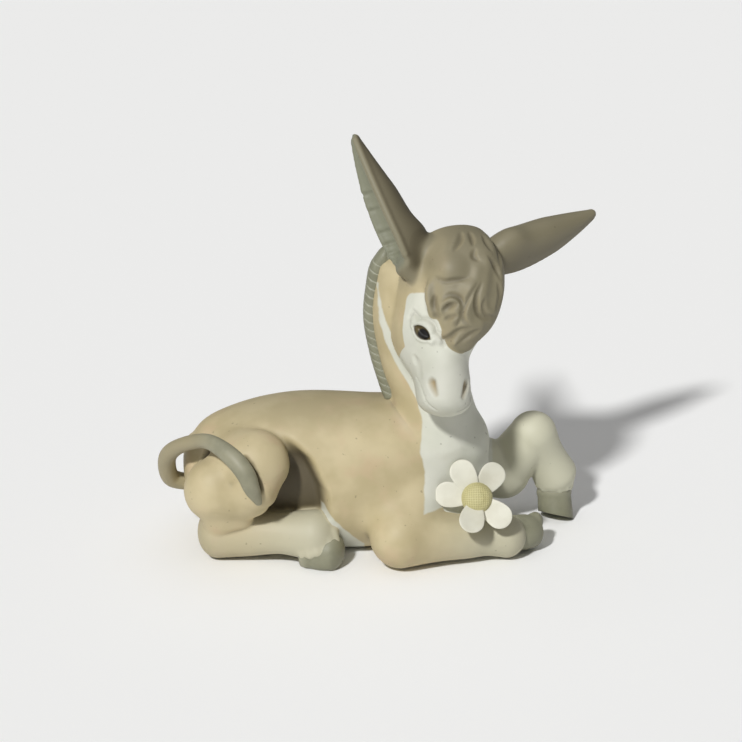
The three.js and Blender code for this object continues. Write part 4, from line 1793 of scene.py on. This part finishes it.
@dataclass(frozen=True)
class Coat:
    """Where each paint lies on the skin, with the strength of each.

    Attributes:
        surface: the skin.
        shares: how much each piece has of it.
    """

    surface: Surface
    shares: dict[str, Array]
    back: float = 0.4
    crown: float = 0.8
    # How much lighter the curls are painted where they face the light: a painted highlight
    curl_highlight: float = 0.35
    # Strengths of painted shade: in crevices, as painted shadow in the flank's hollow, on the back of the
    # right ear, under the left ear, on the muzzle, on the hind shanks and on the lying forearm
    crevice_shade: float = 0.6
    pocket_shadow: float = 0.93
    ear_back_shade: float = 0.8
    ear_under_shade: float = 0.4
    muzzle: float = 0.13
    shin: float = 0.14
    forearm: float = 0.16

    # How many mm of a painted edge a whole share makes, at a lute joint and at the hair
    JOINT_EDGE = 6
    HAIR_EDGE = 4

    @property
    def hair(self) -> Array:
        """How much is hair or ear."""
        return self.shares["forelock"] + self.shares["right_ear"] + self.shares["left_ear"]

    @property
    def head(self) -> Array:
        """How much is head, with hair and ears."""
        return self.shares["head"] + self.hair

    @property
    def shank(self) -> Array:
        """How much is hind shank."""
        return np.maximum(self.shares["right_hind_shank"], self.shares["left_hind_shank"])

    @property
    def rise(self) -> Array:
        """How high each place lies on the head, in the head's frame."""
        return inside(self.surface.points, HEAD.frame)[:, 2]

    def white(self) -> Array:
        """How far inside the white of breast, belly and face each place lies, in mm.

        Returns:
            The distances, below zero outside.
        """
        x, _, z = self.surface.points.T
        off_leg = (0.5 - self.shares["right_foreleg"]) * self.JOINT_EDGE
        bib = np.minimum(Neck().bib(x, z), np.maximum(off_leg, z - 20.5))
        belly = np.minimum(TRUNK.belly(x, z), (self.shares["trunk"] - 0.5) * self.JOINT_EDGE)
        mask = np.minimum(HEAD.mask(self.surface.points), (0.5 - self.hair) * self.HAIR_EDGE)
        return np.where(self.head > 0.5, mask, np.maximum(bib, belly))

    def brown(self) -> Array:
        """How much brown lies on the curls, the ears, the crown and along the back.

        Returns:
            A share for each place.
        """
        aside = self.surface.normals[:, 0]
        # Painted highlight: less brown on the curls where they face the light
        curls = self.curl_highlight * self.shares["forelock"] * ramp(-aside, -0.1, 0.7)
        crown = self.crown * np.where(self.head > 0.3, ramp(self.rise, -17, -4), 0)
        back = self.back * ramp(self.surface.points[:, 2], 44, 54) * (self.shares["trunk"] > 0.5)
        return np.maximum.reduce([np.clip(self.hair, 0, 1) * (1 - curls), crown, back])

    def cream(self) -> Array:
        """How much cream lies on the legs, more of it towards the hooves.

        Returns:
            A share for each place.
        """
        x = self.surface.points[:, 0]
        hind = self.shank * (0.25 + 0.55 * ramp(x, -52, -22))
        raised = ramp(self.shares["left_foreleg"], 0.1, 0.6)
        lying = self.shares["right_foreleg"] * 0.75 * ramp(x, 12, 42)
        return np.maximum.reduce([hind, raised, lying])

    def wash(self) -> Array:
        """How much painted shade lies in crevices, creases and the flank's hollow, and on the parts
        turned from the light: the back of the right ear, the underside of the left ear, the muzzle and the
        legs.

        Returns:
            A share for each place.
        """
        x, _, z = self.surface.points.T
        aside, _, up = self.surface.normals.T
        # Painted shade in crevices and painted shadow in the flank's hollow, weaker on the pale paint
        painted_shade = self.surface.average(self.crevice_shade * ramp(self.surface.hollows(12), 0.04, 0.32), 3)
        painted_shade = np.maximum(painted_shade, self.pocket_shadow * TRUNK.pocket_shadow(x, z) * self.shares["trunk"])
        painted_shade *= 1 - 0.6 * np.maximum(self.cream(), ramp(self.white(), -0.5, 0.5))
        painted_shade *= 1 - 0.8 * self.surface.layer("lining")
        # Painted shade on the parts turned from the light
        shaded_parts = [
            self.ear_back_shade * self.shares["right_ear"] * ramp(aside, 0.15, 0.85),
            self.ear_under_shade * self.shares["left_ear"] * ramp(-up, -0.35, 0.6),
            self.muzzle * np.where(self.head > 0.5, ramp(-self.rise, 32, 44), 0),
            self.shin * self.shank,
            self.forearm * self.shares["right_foreleg"] * ramp(x, 20, 42),
        ]
        return np.maximum.reduce([self.surface.layer("wash"), painted_shade, *shaded_parts])


@dataclass(frozen=True)
class Body:
    """The foal's skin, modelled as one surface and cut at the lute joints.

    Attributes:
        grain: the size of the skin's faces.
        lip: how far the cut edge of a piece turns inwards.
        border: how far the pieces' borders are softened.
        skin_rub: how often all the skin is rubbed.
        ear_rub: how often the right ear is rubbed once more.
        hair_rub: the same for the forelock.
        edge_rub: the same for the forelock's border on the crown.
        melt_rub: the same for the places in MELTS and HEAD_MELTS.
        haunch_rub: the same for the left haunch.
    """

    grain: float = 0.45
    lip: float = 1.5
    border: int = 12
    skin_rub: int = 16
    ear_rub: int = 14
    hair_rub: int = 40
    edge_rub: int = 500
    melt_rub: int = 500
    haunch_rub: int = 700

    SLOTS = {
        "trunk": Slot.FAWN,
        "neck": Slot.FAWN,
        "right_haunch": Slot.FAWN,
        "left_haunch": Slot.FAWN,
        "right_foreleg": Slot.FAWN,
        "left_foreleg": Slot.WHITE,
        "right_hind_shank": Slot.WHITE,
        "left_hind_shank": Slot.WHITE,
        "head": Slot.WHITE,
        "forelock": Slot.BROWN,
        "right_ear": Slot.BROWN,
        "left_ear": Slot.BROWN,
    }
    # Places where the clay is rubbed into a soft slope, each with its reach
    MELTS = [
        ((4, -25, 24), 22),
        ((12, -20, 46), 20),
        ((12, 20, 46), 20),
        ((34, 0, 40), 18),
        ((24, -14, 30), 13),
        ((-54, -14, 46), 17),
        ((-54, 14, 46), 17),
        ((2, 0, 54), 8),
        ((8, 6, 100), 9),
        ((-58, -30, 30), 11),
        ((-47, -32, 27), 8),
        ((-56, -28, 19), 10),
        ((-45, -30, 21), 9),
        ((-33.5, -27, 31.5), 7),
        ((-56, 25, 19), 10),
        ((-45, 26, 24), 11),
        ((-53.5, -28, 38), 7),
        ((24, -20, 22), 10),
    ]
    # The same on the head, in its own frame
    HEAD_MELTS = [((-10, -8, 1), 8), ((-10, -9, -8), 6), ((-13.8, -6, -9), 6)]
    # Creases darkened with painted shadow, each with its half width, depth and the strength of that
    # shadow: over the gaskin, and beside the tail
    CREASES = [
        ([(-66.5, -18.5, 32), (-63.5, -16.3, 36.5), (-58.5, -15.3, 38.6)], 3.2, 1.3, 0.95),
        ([(-45.2, -31, 43), (-43.7, -31.8, 41.4), (-41.9, -33, 38.7), (-40.3, -33, 33)], 2.3, 1.0, 0.95),
    ]

    def build(self) -> None:
        """Kneads, carves, paints and cuts the skin."""
        clay = Clay()
        clay.add("trunk", TRUNK.rolls())
        TRUNK.hollow(clay.lumps[0][1])
        clay.add("neck", Neck().rolls())
        for hand in Hand:
            leg = HindLeg(hand)
            clay.add(hand.piece("haunch"), leg.haunch())
            clay.add(hand.piece("hind_shank"), leg.lower())
        clay.add("right_foreleg", RightForeleg().rolls())
        clay.add("left_foreleg", LeftForeleg().rolls())
        clay.add("head", HEAD.rolls(), HEAD.frame)
        clay.add("forelock", Forelock().rolls(), HEAD.frame)
        clay.add("right_ear", RIGHT_EAR.rolls(), HEAD.frame)
        clay.add("left_ear", LEFT_EAR.rolls(), HEAD.frame)
        surface = Surface(clay.knead("skin", self.grain))
        shares = clay.shares(surface, self.border)
        self.rub(surface, shares)
        HEAD.carve(surface, shares["forelock"])
        Forelock().carve(surface, shares["forelock"])
        RIGHT_EAR.carve(surface, shares["right_ear"])
        LEFT_EAR.carve(surface, shares["left_ear"])
        for line, width, depth, wash in self.CREASES:
            off = surface.groove(np.array(line), width, depth)
            # The creases are darkened with painted shadow
            surface.layers["wash"] = np.maximum(surface.layer("wash"), wash * fade(off, width))
        self.paint(surface, shares)
        self.cut(surface, shares)

    def rub(self, surface: Surface, shares: dict[str, Array]) -> None:
        """Rubs the joins between the rolls smooth and grinds the base flat.

        Args:
            surface: the skin.
            shares: how much each piece has of it.
        """
        fine = shares["right_ear"] + shares["left_ear"]
        surface.smooth(1 - fine * 0.8, self.skin_rub)
        surface.smooth(0.6 * shares["right_ear"], self.ear_rub)
        hair = shares["forelock"]
        surface.smooth(hair, self.hair_rub)
        edge = ramp(hair, 0.01, 0.2) * ramp(1 - hair, 0.01, 0.2)
        surface.smooth(edge * ramp(inside(surface.points, HEAD.frame)[:, 2], -20, -8), self.edge_rub)
        soft = np.zeros(len(surface.points))
        heads = [(carried(np.array([at], float), HEAD.frame)[0], reach) for at, reach in self.HEAD_MELTS]
        for centre, reach in [*self.MELTS, *heads]:
            off = np.linalg.norm(surface.points - np.array(centre), axis=1)
            soft = np.maximum(soft, fade(off, reach))
        surface.smooth(soft, self.melt_rub)
        surface.smooth(ramp(shares["left_haunch"], 0.2, 0.8), self.haunch_rub)
        surface.grind()

    def paint(self, surface: Surface, shares: dict[str, Array]) -> None:
        """Lays out the paint over the whole skin.

        Args:
            surface: the skin.
            shares: how much each piece has of it.
        """
        coat = Coat(surface, shares)
        # Painted shade and painted shadow
        surface.layers["wash"] = coat.wash()
        surface.layers["white"] = coat.white()
        surface.layers["brown"] = coat.brown()
        surface.layers["cream"] = coat.cream()
        for name in ("eye", "pupil"):
            surface.layer(name, OUTSIDE)
        for name in ("lining", "nostril"):
            surface.layer(name)

    def cut(self, surface: Surface, shares: dict[str, Array]) -> None:
        """Cuts the skin into closed pieces that meet without a visible seam.

        Args:
            surface: the finished skin.
            shares: how much each piece has of it.
        """
        material = PaintedBisque().material()
        mesh = surface.obj.data
        corners = np.empty(len(mesh.loops), np.int32)
        mesh.loops.foreach_get("vertex_index", corners)
        faces = corners.reshape(-1, 4)
        names = list(self.SLOTS)
        owned = np.argmax([shares[name][faces].mean(axis=1) for name in names], axis=0)
        for index, name in enumerate(names):
            used, local = np.unique(faces[owned == index], return_inverse=True)
            piece = bpy.data.meshes.new(f"{name}_skin")
            piece.from_pydata((surface.points[used] * MM).tolist(), [], local.reshape(-1, 4).tolist())
            obj = bpy.data.objects.new(f"{name}_skin", piece)
            bpy.context.scene.collection.objects.link(obj)
            store(obj, {key: values[used] for key, values in surface.layers.items()})
            self.close(obj, surface.points[used], surface.normals[used])
            hand_in(obj, name, material)
        bpy.data.objects.remove(surface.obj)

    def close(self, obj: bpy.types.Object, points: Array, directions: Array) -> None:
        """Turns the cut edge of a piece inwards and fills it.

        Args:
            obj: the piece, open where it was cut.
            points: the places of its vertices.
            directions: the directions out of the whole skin there.
        """
        mesh = obj.data
        count = len(points)
        source = mesh.attributes.new("source", "INT", "POINT")
        source.data.foreach_set("value", np.arange(count, dtype=np.int32))
        choose(obj)
        bpy.ops.object.mode_set(mode="EDIT")
        bpy.ops.mesh.select_mode(type="EDGE")
        bpy.ops.mesh.select_all(action="DESELECT")
        bpy.ops.mesh.select_non_manifold(extend=False, use_wire=False, use_multi_face=False,
                                         use_non_contiguous=False, use_verts=False)
        bpy.ops.mesh.extrude_region()
        bpy.ops.object.mode_set(mode="OBJECT")
        origin = np.empty(len(mesh.vertices), np.int32)
        mesh.attributes["source"].data.foreach_get("value", origin)
        turned = points[origin]
        turned[count:] -= directions[origin[count:]] * self.lip
        put(obj, turned)
        bpy.ops.object.mode_set(mode="EDIT")
        bpy.ops.mesh.select_all(action="SELECT")
        bpy.ops.mesh.fill_holes(sides=0)
        bpy.ops.mesh.normals_make_consistent(inside=False)
        bpy.ops.object.mode_set(mode="OBJECT")
        mesh.attributes.remove(mesh.attributes["source"])
        bpy.ops.object.shade_smooth()
        mesh.normals_split_custom_set_from_vertices(directions[origin].tolist())


# Pieces that are modelled on their own

@dataclass(frozen=True)
class Mane:
    """The clipped mane on the crest of the neck, with a line drawn across it for each tuft.

    Attributes:
        height: how far it stands out of the crest.
        width: its width.
        seat: how far it is sunk into the neck.
        tuft: the distance between two lines.
        slant: how far a line drops for each mm that it runs ahead.
        line_width: a line's half width.
        line_depth: its depth.
        line_share: how much of the second colour lies in it.
        poll: where the mane ends between the ears.
    """

    height: float = 2.8
    width: float = 8.0
    seat: float = 3.0
    tuft: float = 2.9
    slant: float = 0.45
    line_width: float = 0.42
    line_depth: float = 0.3
    line_share: float = 0.75
    poll: Point = (2.0, 5.0, 102.5)

    # Places that the mane follows, as shares of the neck's length
    CREST = [0.27, 0.42, 0.58, 0.74, 0.88, 1.0]
    CREST_STEPS = 50

    def crest(self) -> Array:
        """Places along the back of the neck, from the withers to the poll.

        Returns:
            One place a row.
        """
        neck = Roll(Neck().rings(), BACK, steps=self.CREST_STEPS)
        places, sizes = neck.spine()
        _, rise, _ = neck.axes(places)
        edge = places + rise * sizes[:, 1:2]
        picks = [round(share * (len(edge) - 1)) for share in self.CREST]
        return np.vstack([edge[picks], self.poll])

    def build(self) -> None:
        """Rolls the mane out along the crest, and draws its lines."""
        crest = self.crest()
        rings = tuple(Ring(tuple(p), self.width / 2, self.height, self.seat) for p in crest)
        roll = Roll(rings, BACK, self.height * 0.7, 5, boxy=0.8, steps=60, segments=40)
        surface = Surface(roll.add("mane_slip"))
        line, _ = roll.spine()
        run = np.concatenate([[0], np.cumsum(np.linalg.norm(np.diff(line, axis=0), axis=1))])
        nearest = np.argmin(np.abs(surface.points[:, None, 2] - line[None, :, 2]), axis=1)
        along = run[nearest] + self.slant * (surface.points[:, 0] - line[nearest, 0])
        off = np.abs((along / self.tuft) % 1 - 0.5) * self.tuft
        drawn = fade(off, self.line_width)
        surface.push(-self.line_depth * drawn)
        store(surface.obj, {"other": self.line_share * drawn})
        hand_in(surface.obj, "mane", MANE_SLIP.material())


@dataclass(frozen=True)
class Tail:
    """The tail: it rises from the rump, loops out over the right haunch and rests its tip there."""

    girth: float = 2.9
    tip: float = 1.5

    def build(self) -> None:
        """Rolls the tail out and paints it from fawn at the root to grey."""
        rump, flank, middle = -TRUNK.rump_reach, TRUNK.flank, TRUNK.middle
        hip = HindLeg(Hand.RIGHT).hip_x
        rings = (
            disc((rump + 3, 0, middle - 5), self.girth),
            disc((rump - 3.2, -2, middle - 2), self.girth * 1.08),
            disc((rump - 3.8, -8, middle + 8), self.girth * 1.05),
            disc((rump + 1.5, 10 - flank, middle + 15.5), self.girth * 0.9),
            disc((hip - 13, 1.5 - flank, middle + 20.5), self.girth * 0.9),
            disc((hip - 5, -6 - flank, middle + 18.5), self.girth * 1.1),
            disc((hip, -10 - flank, middle + 14), self.girth * 1.12),
            disc((hip + 2.5, -10.5 - flank, middle + 8), self.girth * 0.95),
            disc((hip + 4.5, -7 - flank, middle + 2), self.tip),
        )
        obj = Roll(rings, LEFT, 0, self.tip, steps=14, segments=36).add("tail_slip")
        points = coords(obj)
        store(obj, {"other": 1 - ramp(points[:, 0], rump + 2, hip - 9)})
        hand_in(obj, "tail", TAIL_SLIP.material())


@dataclass(frozen=True)
class Hoof:
    """A small hoof, with the coronet standing out a little where it meets the leg.

    Attributes:
        node: the solid that it stands for.
        roll: its clay.
        toe: where its toe is drawn out, if it is.
        toe_reach: how far round that place the clay follows.
        toe_height: how far the toe is drawn out.
        coronet: how far the coronet stands out.
        coronet_at: how far along the hoof it lies.
        coronet_width: its half width, as a share of the hoof's length.
    """

    node: str
    roll: Roll
    toe: Point | None = None
    toe_reach: float = 4.2
    toe_height: float = 2.6
    coronet: float = 0.35
    coronet_at: float = 0.2
    coronet_width: float = 0.18

    def build(self, material: bpy.types.Material) -> None:
        """Rolls the hoof out, grinds it flat at the ground and paints it paler at the coronet.

        Args:
            material: the material of its slip.
        """
        obj = self.roll.add(f"{self.node}_slip")
        choose(obj)
        bpy.ops.object.mode_set(mode="EDIT")
        bpy.ops.mesh.select_all(action="SELECT")
        bpy.ops.mesh.bisect(plane_co=(0, 0, 0), plane_no=UP, use_fill=True, clear_inner=True)
        bpy.ops.object.mode_set(mode="OBJECT")
        surface = Surface(obj)
        start, end = (np.array(self.roll.rings[i].at) for i in (0, -1))
        run = end - start
        along = (surface.points - start) @ run / (run @ run)
        surface.push(self.coronet * fade(along - self.coronet_at, self.coronet_width))
        if self.toe:
            surface.press(np.array(self.toe), self.toe_reach, -self.toe_height)
        surface.grind()
        store(obj, {"other": 0.5 * ramp(-along, -0.45, 0)})
        hand_in(obj, self.node, material)


@dataclass(frozen=True)
class Daisy:
    """The daisy on the foreleg, in its own frame: it faces out along -y.

    Attributes:
        length: a petal's length.
        width: its width.
        thickness: its thickness.
        dish: how far its edges bend forward.
        eye_radius: the radius of the daisy's eye.
        mesh_pitch: the distance between two grains on it.
        mesh_height: how far they stand out.
        eye_grain: the size of the eye's faces.
        peg: the radius of the peg behind the eye.
        peg_foot: its radius where it meets the leg.
    """

    length: float = 14.5
    width: float = 8.8
    thickness: float = 1.4
    dish: float = 0.7
    eye_radius: float = 5.3
    mesh_pitch: float = 0.6
    mesh_height: float = 0.11
    eye_grain: float = 0.14
    peg: float = 2.4
    peg_foot: float = 2.8

    # How far each petal is turned about the eye, and leans back, in degrees
    TURNS = [-37, 28, 82, 163, 230]
    LEANS = [-15, -5, -6, 35, 14]
    # The petal's outline: shares of its length, and of its half width there
    OUTLINE = [(0.14, 0.5), (0.34, 0.76), (0.54, 0.95), (0.7, 1.0)]
    # The middle of its dish, as a share of its length
    DISH_AT = 0.6
    # The eye's profile: radii, and how far out they lie
    PROFILE = [(2.4, -3), (4.24, -0.9), (5.3, 0.6), (5.09, 1.84), (4.03, 3.4), (2.3, 4.25)]
    # Where the net of grains is drawn from, behind the eye, as a share of its radius
    NET_FROM = 0.55

    @property
    def frame(self) -> Array:
        """The matrix from the daisy's frame to the figurine's."""
        x, y, z = RightForeleg().fetlock
        return frame_of((x - 10, y - 5.5, z + 16.7), 3, -22, 0)

    def petal(self, index: int, material: bpy.types.Material) -> None:
        """Models one petal: a thin leaf, a little dished, with a round edge.

        Args:
            index: which petal it is.
            material: its porcelain.
        """
        half, thick = self.width / 2, self.thickness / 2
        rings = tuple(
            Ring((0, 0, self.length * share), half * wide, thick, thick) for share, wide in self.OUTLINE
        )
        roll = Roll(rings, FACE, 0.3, self.length * 0.3, boxy=0.8, steps=10, segments=64)
        lean = frame_of((0, 0, 0), 0, self.LEANS[index], 0)
        turn = frame_of((0, 0, 0), 0, 0, -self.TURNS[index]) @ lean
        obj = roll.add(f"petal_{index + 1}_bisque")
        x, y, z = coords(obj).T
        out = z - self.DISH_AT * self.length
        bowl = self.dish * ((x / half) ** 2 + (out / (0.5 * self.length)) ** 2 * 0.5)
        put(obj, carried(carried(np.stack([x, y - bowl + 0.3, z], axis=1), turn), self.frame))
        edge = ramp(np.hypot(x / half, out / (0.45 * self.length)), 0.75, 1.1)
        store(obj, {"other": 0.35 * edge})
        hand_in(obj, f"petal_{index + 1}", material)

    def eye(self) -> None:
        """Models the domed eye with its fine net of grains, and the peg behind it."""
        dome = tuple(disc((0, -height, 0), radius) for radius, height in self.PROFILE)
        leg = RightForeleg()
        foot = inside(np.array([leg.along(0.7, leg.forearm + 0.8)]), self.frame)[0]
        clay = Clay()
        clay.add("daisy_eye", [
            Roll(dome, UP, 0, 0.35, segments=64),
            Roll((disc((0, 1, 0), self.peg), disc(tuple(foot), self.peg_foot)), UP, 1, 1),
        ], self.frame)
        surface = Surface(clay.knead("daisy_eye_bisque", self.eye_grain))
        x, y, z = inside(surface.points, self.frame).T
        wave = np.zeros(len(x))
        for across in (x, z):
            arc = np.arctan2(across, self.eye_radius * self.NET_FROM - y) * self.eye_radius
            wave += np.cos(2 * math.pi * arc / self.mesh_pitch)
        front = ramp(-y, -0.3, 0.6)
        grains = np.clip(wave / 2, -0.4, 1) * front
        surface.push(self.mesh_height * grains)
        # The hollows between the grains are darkened with painted shade
        store(surface.obj, {"other": 0.6 * ramp(-grains, -0.2, 0.4) * front})
        hand_in(surface.obj, "daisy_eye", DAISY_EYE_BISQUE.material())

    def build(self) -> None:
        """Models the eye and the petals."""
        self.eye()
        ivory = PETAL_BISQUE.material()
        for index in range(len(self.TURNS)):
            self.petal(index, ivory)


# The set

@dataclass(frozen=True)
class Lamp:
    """A far lamp that lights figurine and floor evenly.

    Attributes:
        name: its name.
        at: the direction that it hangs in.
        softness: how wide it looks from the figurine, in degrees.
        power: its light on a surface that faces it, in watts per square metre.
    """

    name: str
    at: Point
    softness: float
    power: float

    def hang(self) -> None:
        """Adds the lamp to the set."""
        data = bpy.data.lights.new(self.name, "SUN")
        data.angle = math.radians(self.softness)
        data.energy = self.power
        obj = bpy.data.objects.new(self.name, data)
        bpy.context.scene.collection.objects.link(obj)
        obj.location = self.at
        obj.rotation_euler = (-Vector(self.at)).to_track_quat("-Z", "Y").to_euler()


@dataclass(frozen=True)
class Studio:
    """A pale floor, soft lamps and the camera.

    Attributes:
        elevation: how far the camera looks down, in degrees.
        distance: how far it stands from the middle.
        lens: its focal length.
        sensor: the width of its sensor.
        middle: what it looks at.
        right_shift: how far it is moved to the right.
        up_shift: how far it is moved up.
        floor_size: the floor's size in m.
        ambient: the strength of the light from all round.
    """

    elevation: float = 22.0
    distance: float = 1500.0
    lens: float = 211.05
    sensor: float = 36.0
    middle: Point = (0.0, 0.0, 50.0)
    right_shift: float = -2.24
    up_shift: float = 11.9
    floor_size: float = 6.0
    ambient: float = 0.14

    LAMPS = [Lamp("key", (-0.33, -0.66, 0.675), 5, 2.65), Lamp("top", (0, 0.1, 1), 70, 0.55)]

    def floor(self) -> None:
        """The pale floor."""
        bpy.ops.object.select_all(action="DESELECT")
        bpy.ops.mesh.primitive_plane_add(size=self.floor_size)
        plane = bpy.context.active_object
        plane.name = "floor"
        plane.data.materials.append(Paper().material())

    def world(self) -> None:
        """An even white light from all round."""
        world = bpy.data.worlds.new("studio")
        bpy.context.scene.world = world
        world.use_nodes = True
        background = world.node_tree.nodes["Background"]
        background.inputs["Color"].default_value = linear("#ffffff")
        background.inputs["Strength"].default_value = self.ambient

    def camera(self) -> None:
        """The camera at the photograph's angle."""
        tilt = math.radians(self.elevation)
        away = Vector((0, -math.cos(tilt), math.sin(tilt)))
        right = Vector((1, 0, 0))
        up = right.cross(-away)
        data = bpy.data.cameras.new("camera")
        data.lens = self.lens
        data.sensor_width = self.sensor
        data.clip_end = 20
        obj = bpy.data.objects.new("camera", data)
        bpy.context.scene.collection.objects.link(obj)
        shift = right * self.right_shift + up * self.up_shift
        obj.location = (Vector(self.middle) + away * self.distance + shift) * MM
        obj.rotation_euler = (math.pi / 2 - tilt, 0, 0)
        bpy.context.scene.camera = obj

    def build(self) -> None:
        """Sets up floor, lamps, world and camera."""
        self.floor()
        for lamp in self.LAMPS:
            lamp.hang()
        self.world()
        self.camera()
        bpy.context.scene.view_settings.view_transform = "Standard"


def main() -> None:
    """Builds the figurine and the set."""
    logging.basicConfig(level=logging.INFO, format="%(message)s")
    Body().build()
    Mane().build()
    Tail().build()
    horn = HOOF_SLIP.material()
    for hand in Hand:
        Hoof(hand.piece("hind_hoof"), HindLeg(hand).hoof_roll()).build(horn)
    Hoof("right_fore_hoof", RightForeleg().hoof_roll(), RightForeleg.TOE).build(horn)
    Hoof("left_fore_hoof", LeftForeleg().hoof_roll()).build(horn)
    Daisy().build()
    Studio().build()


if __name__ == "__main__":
    main()
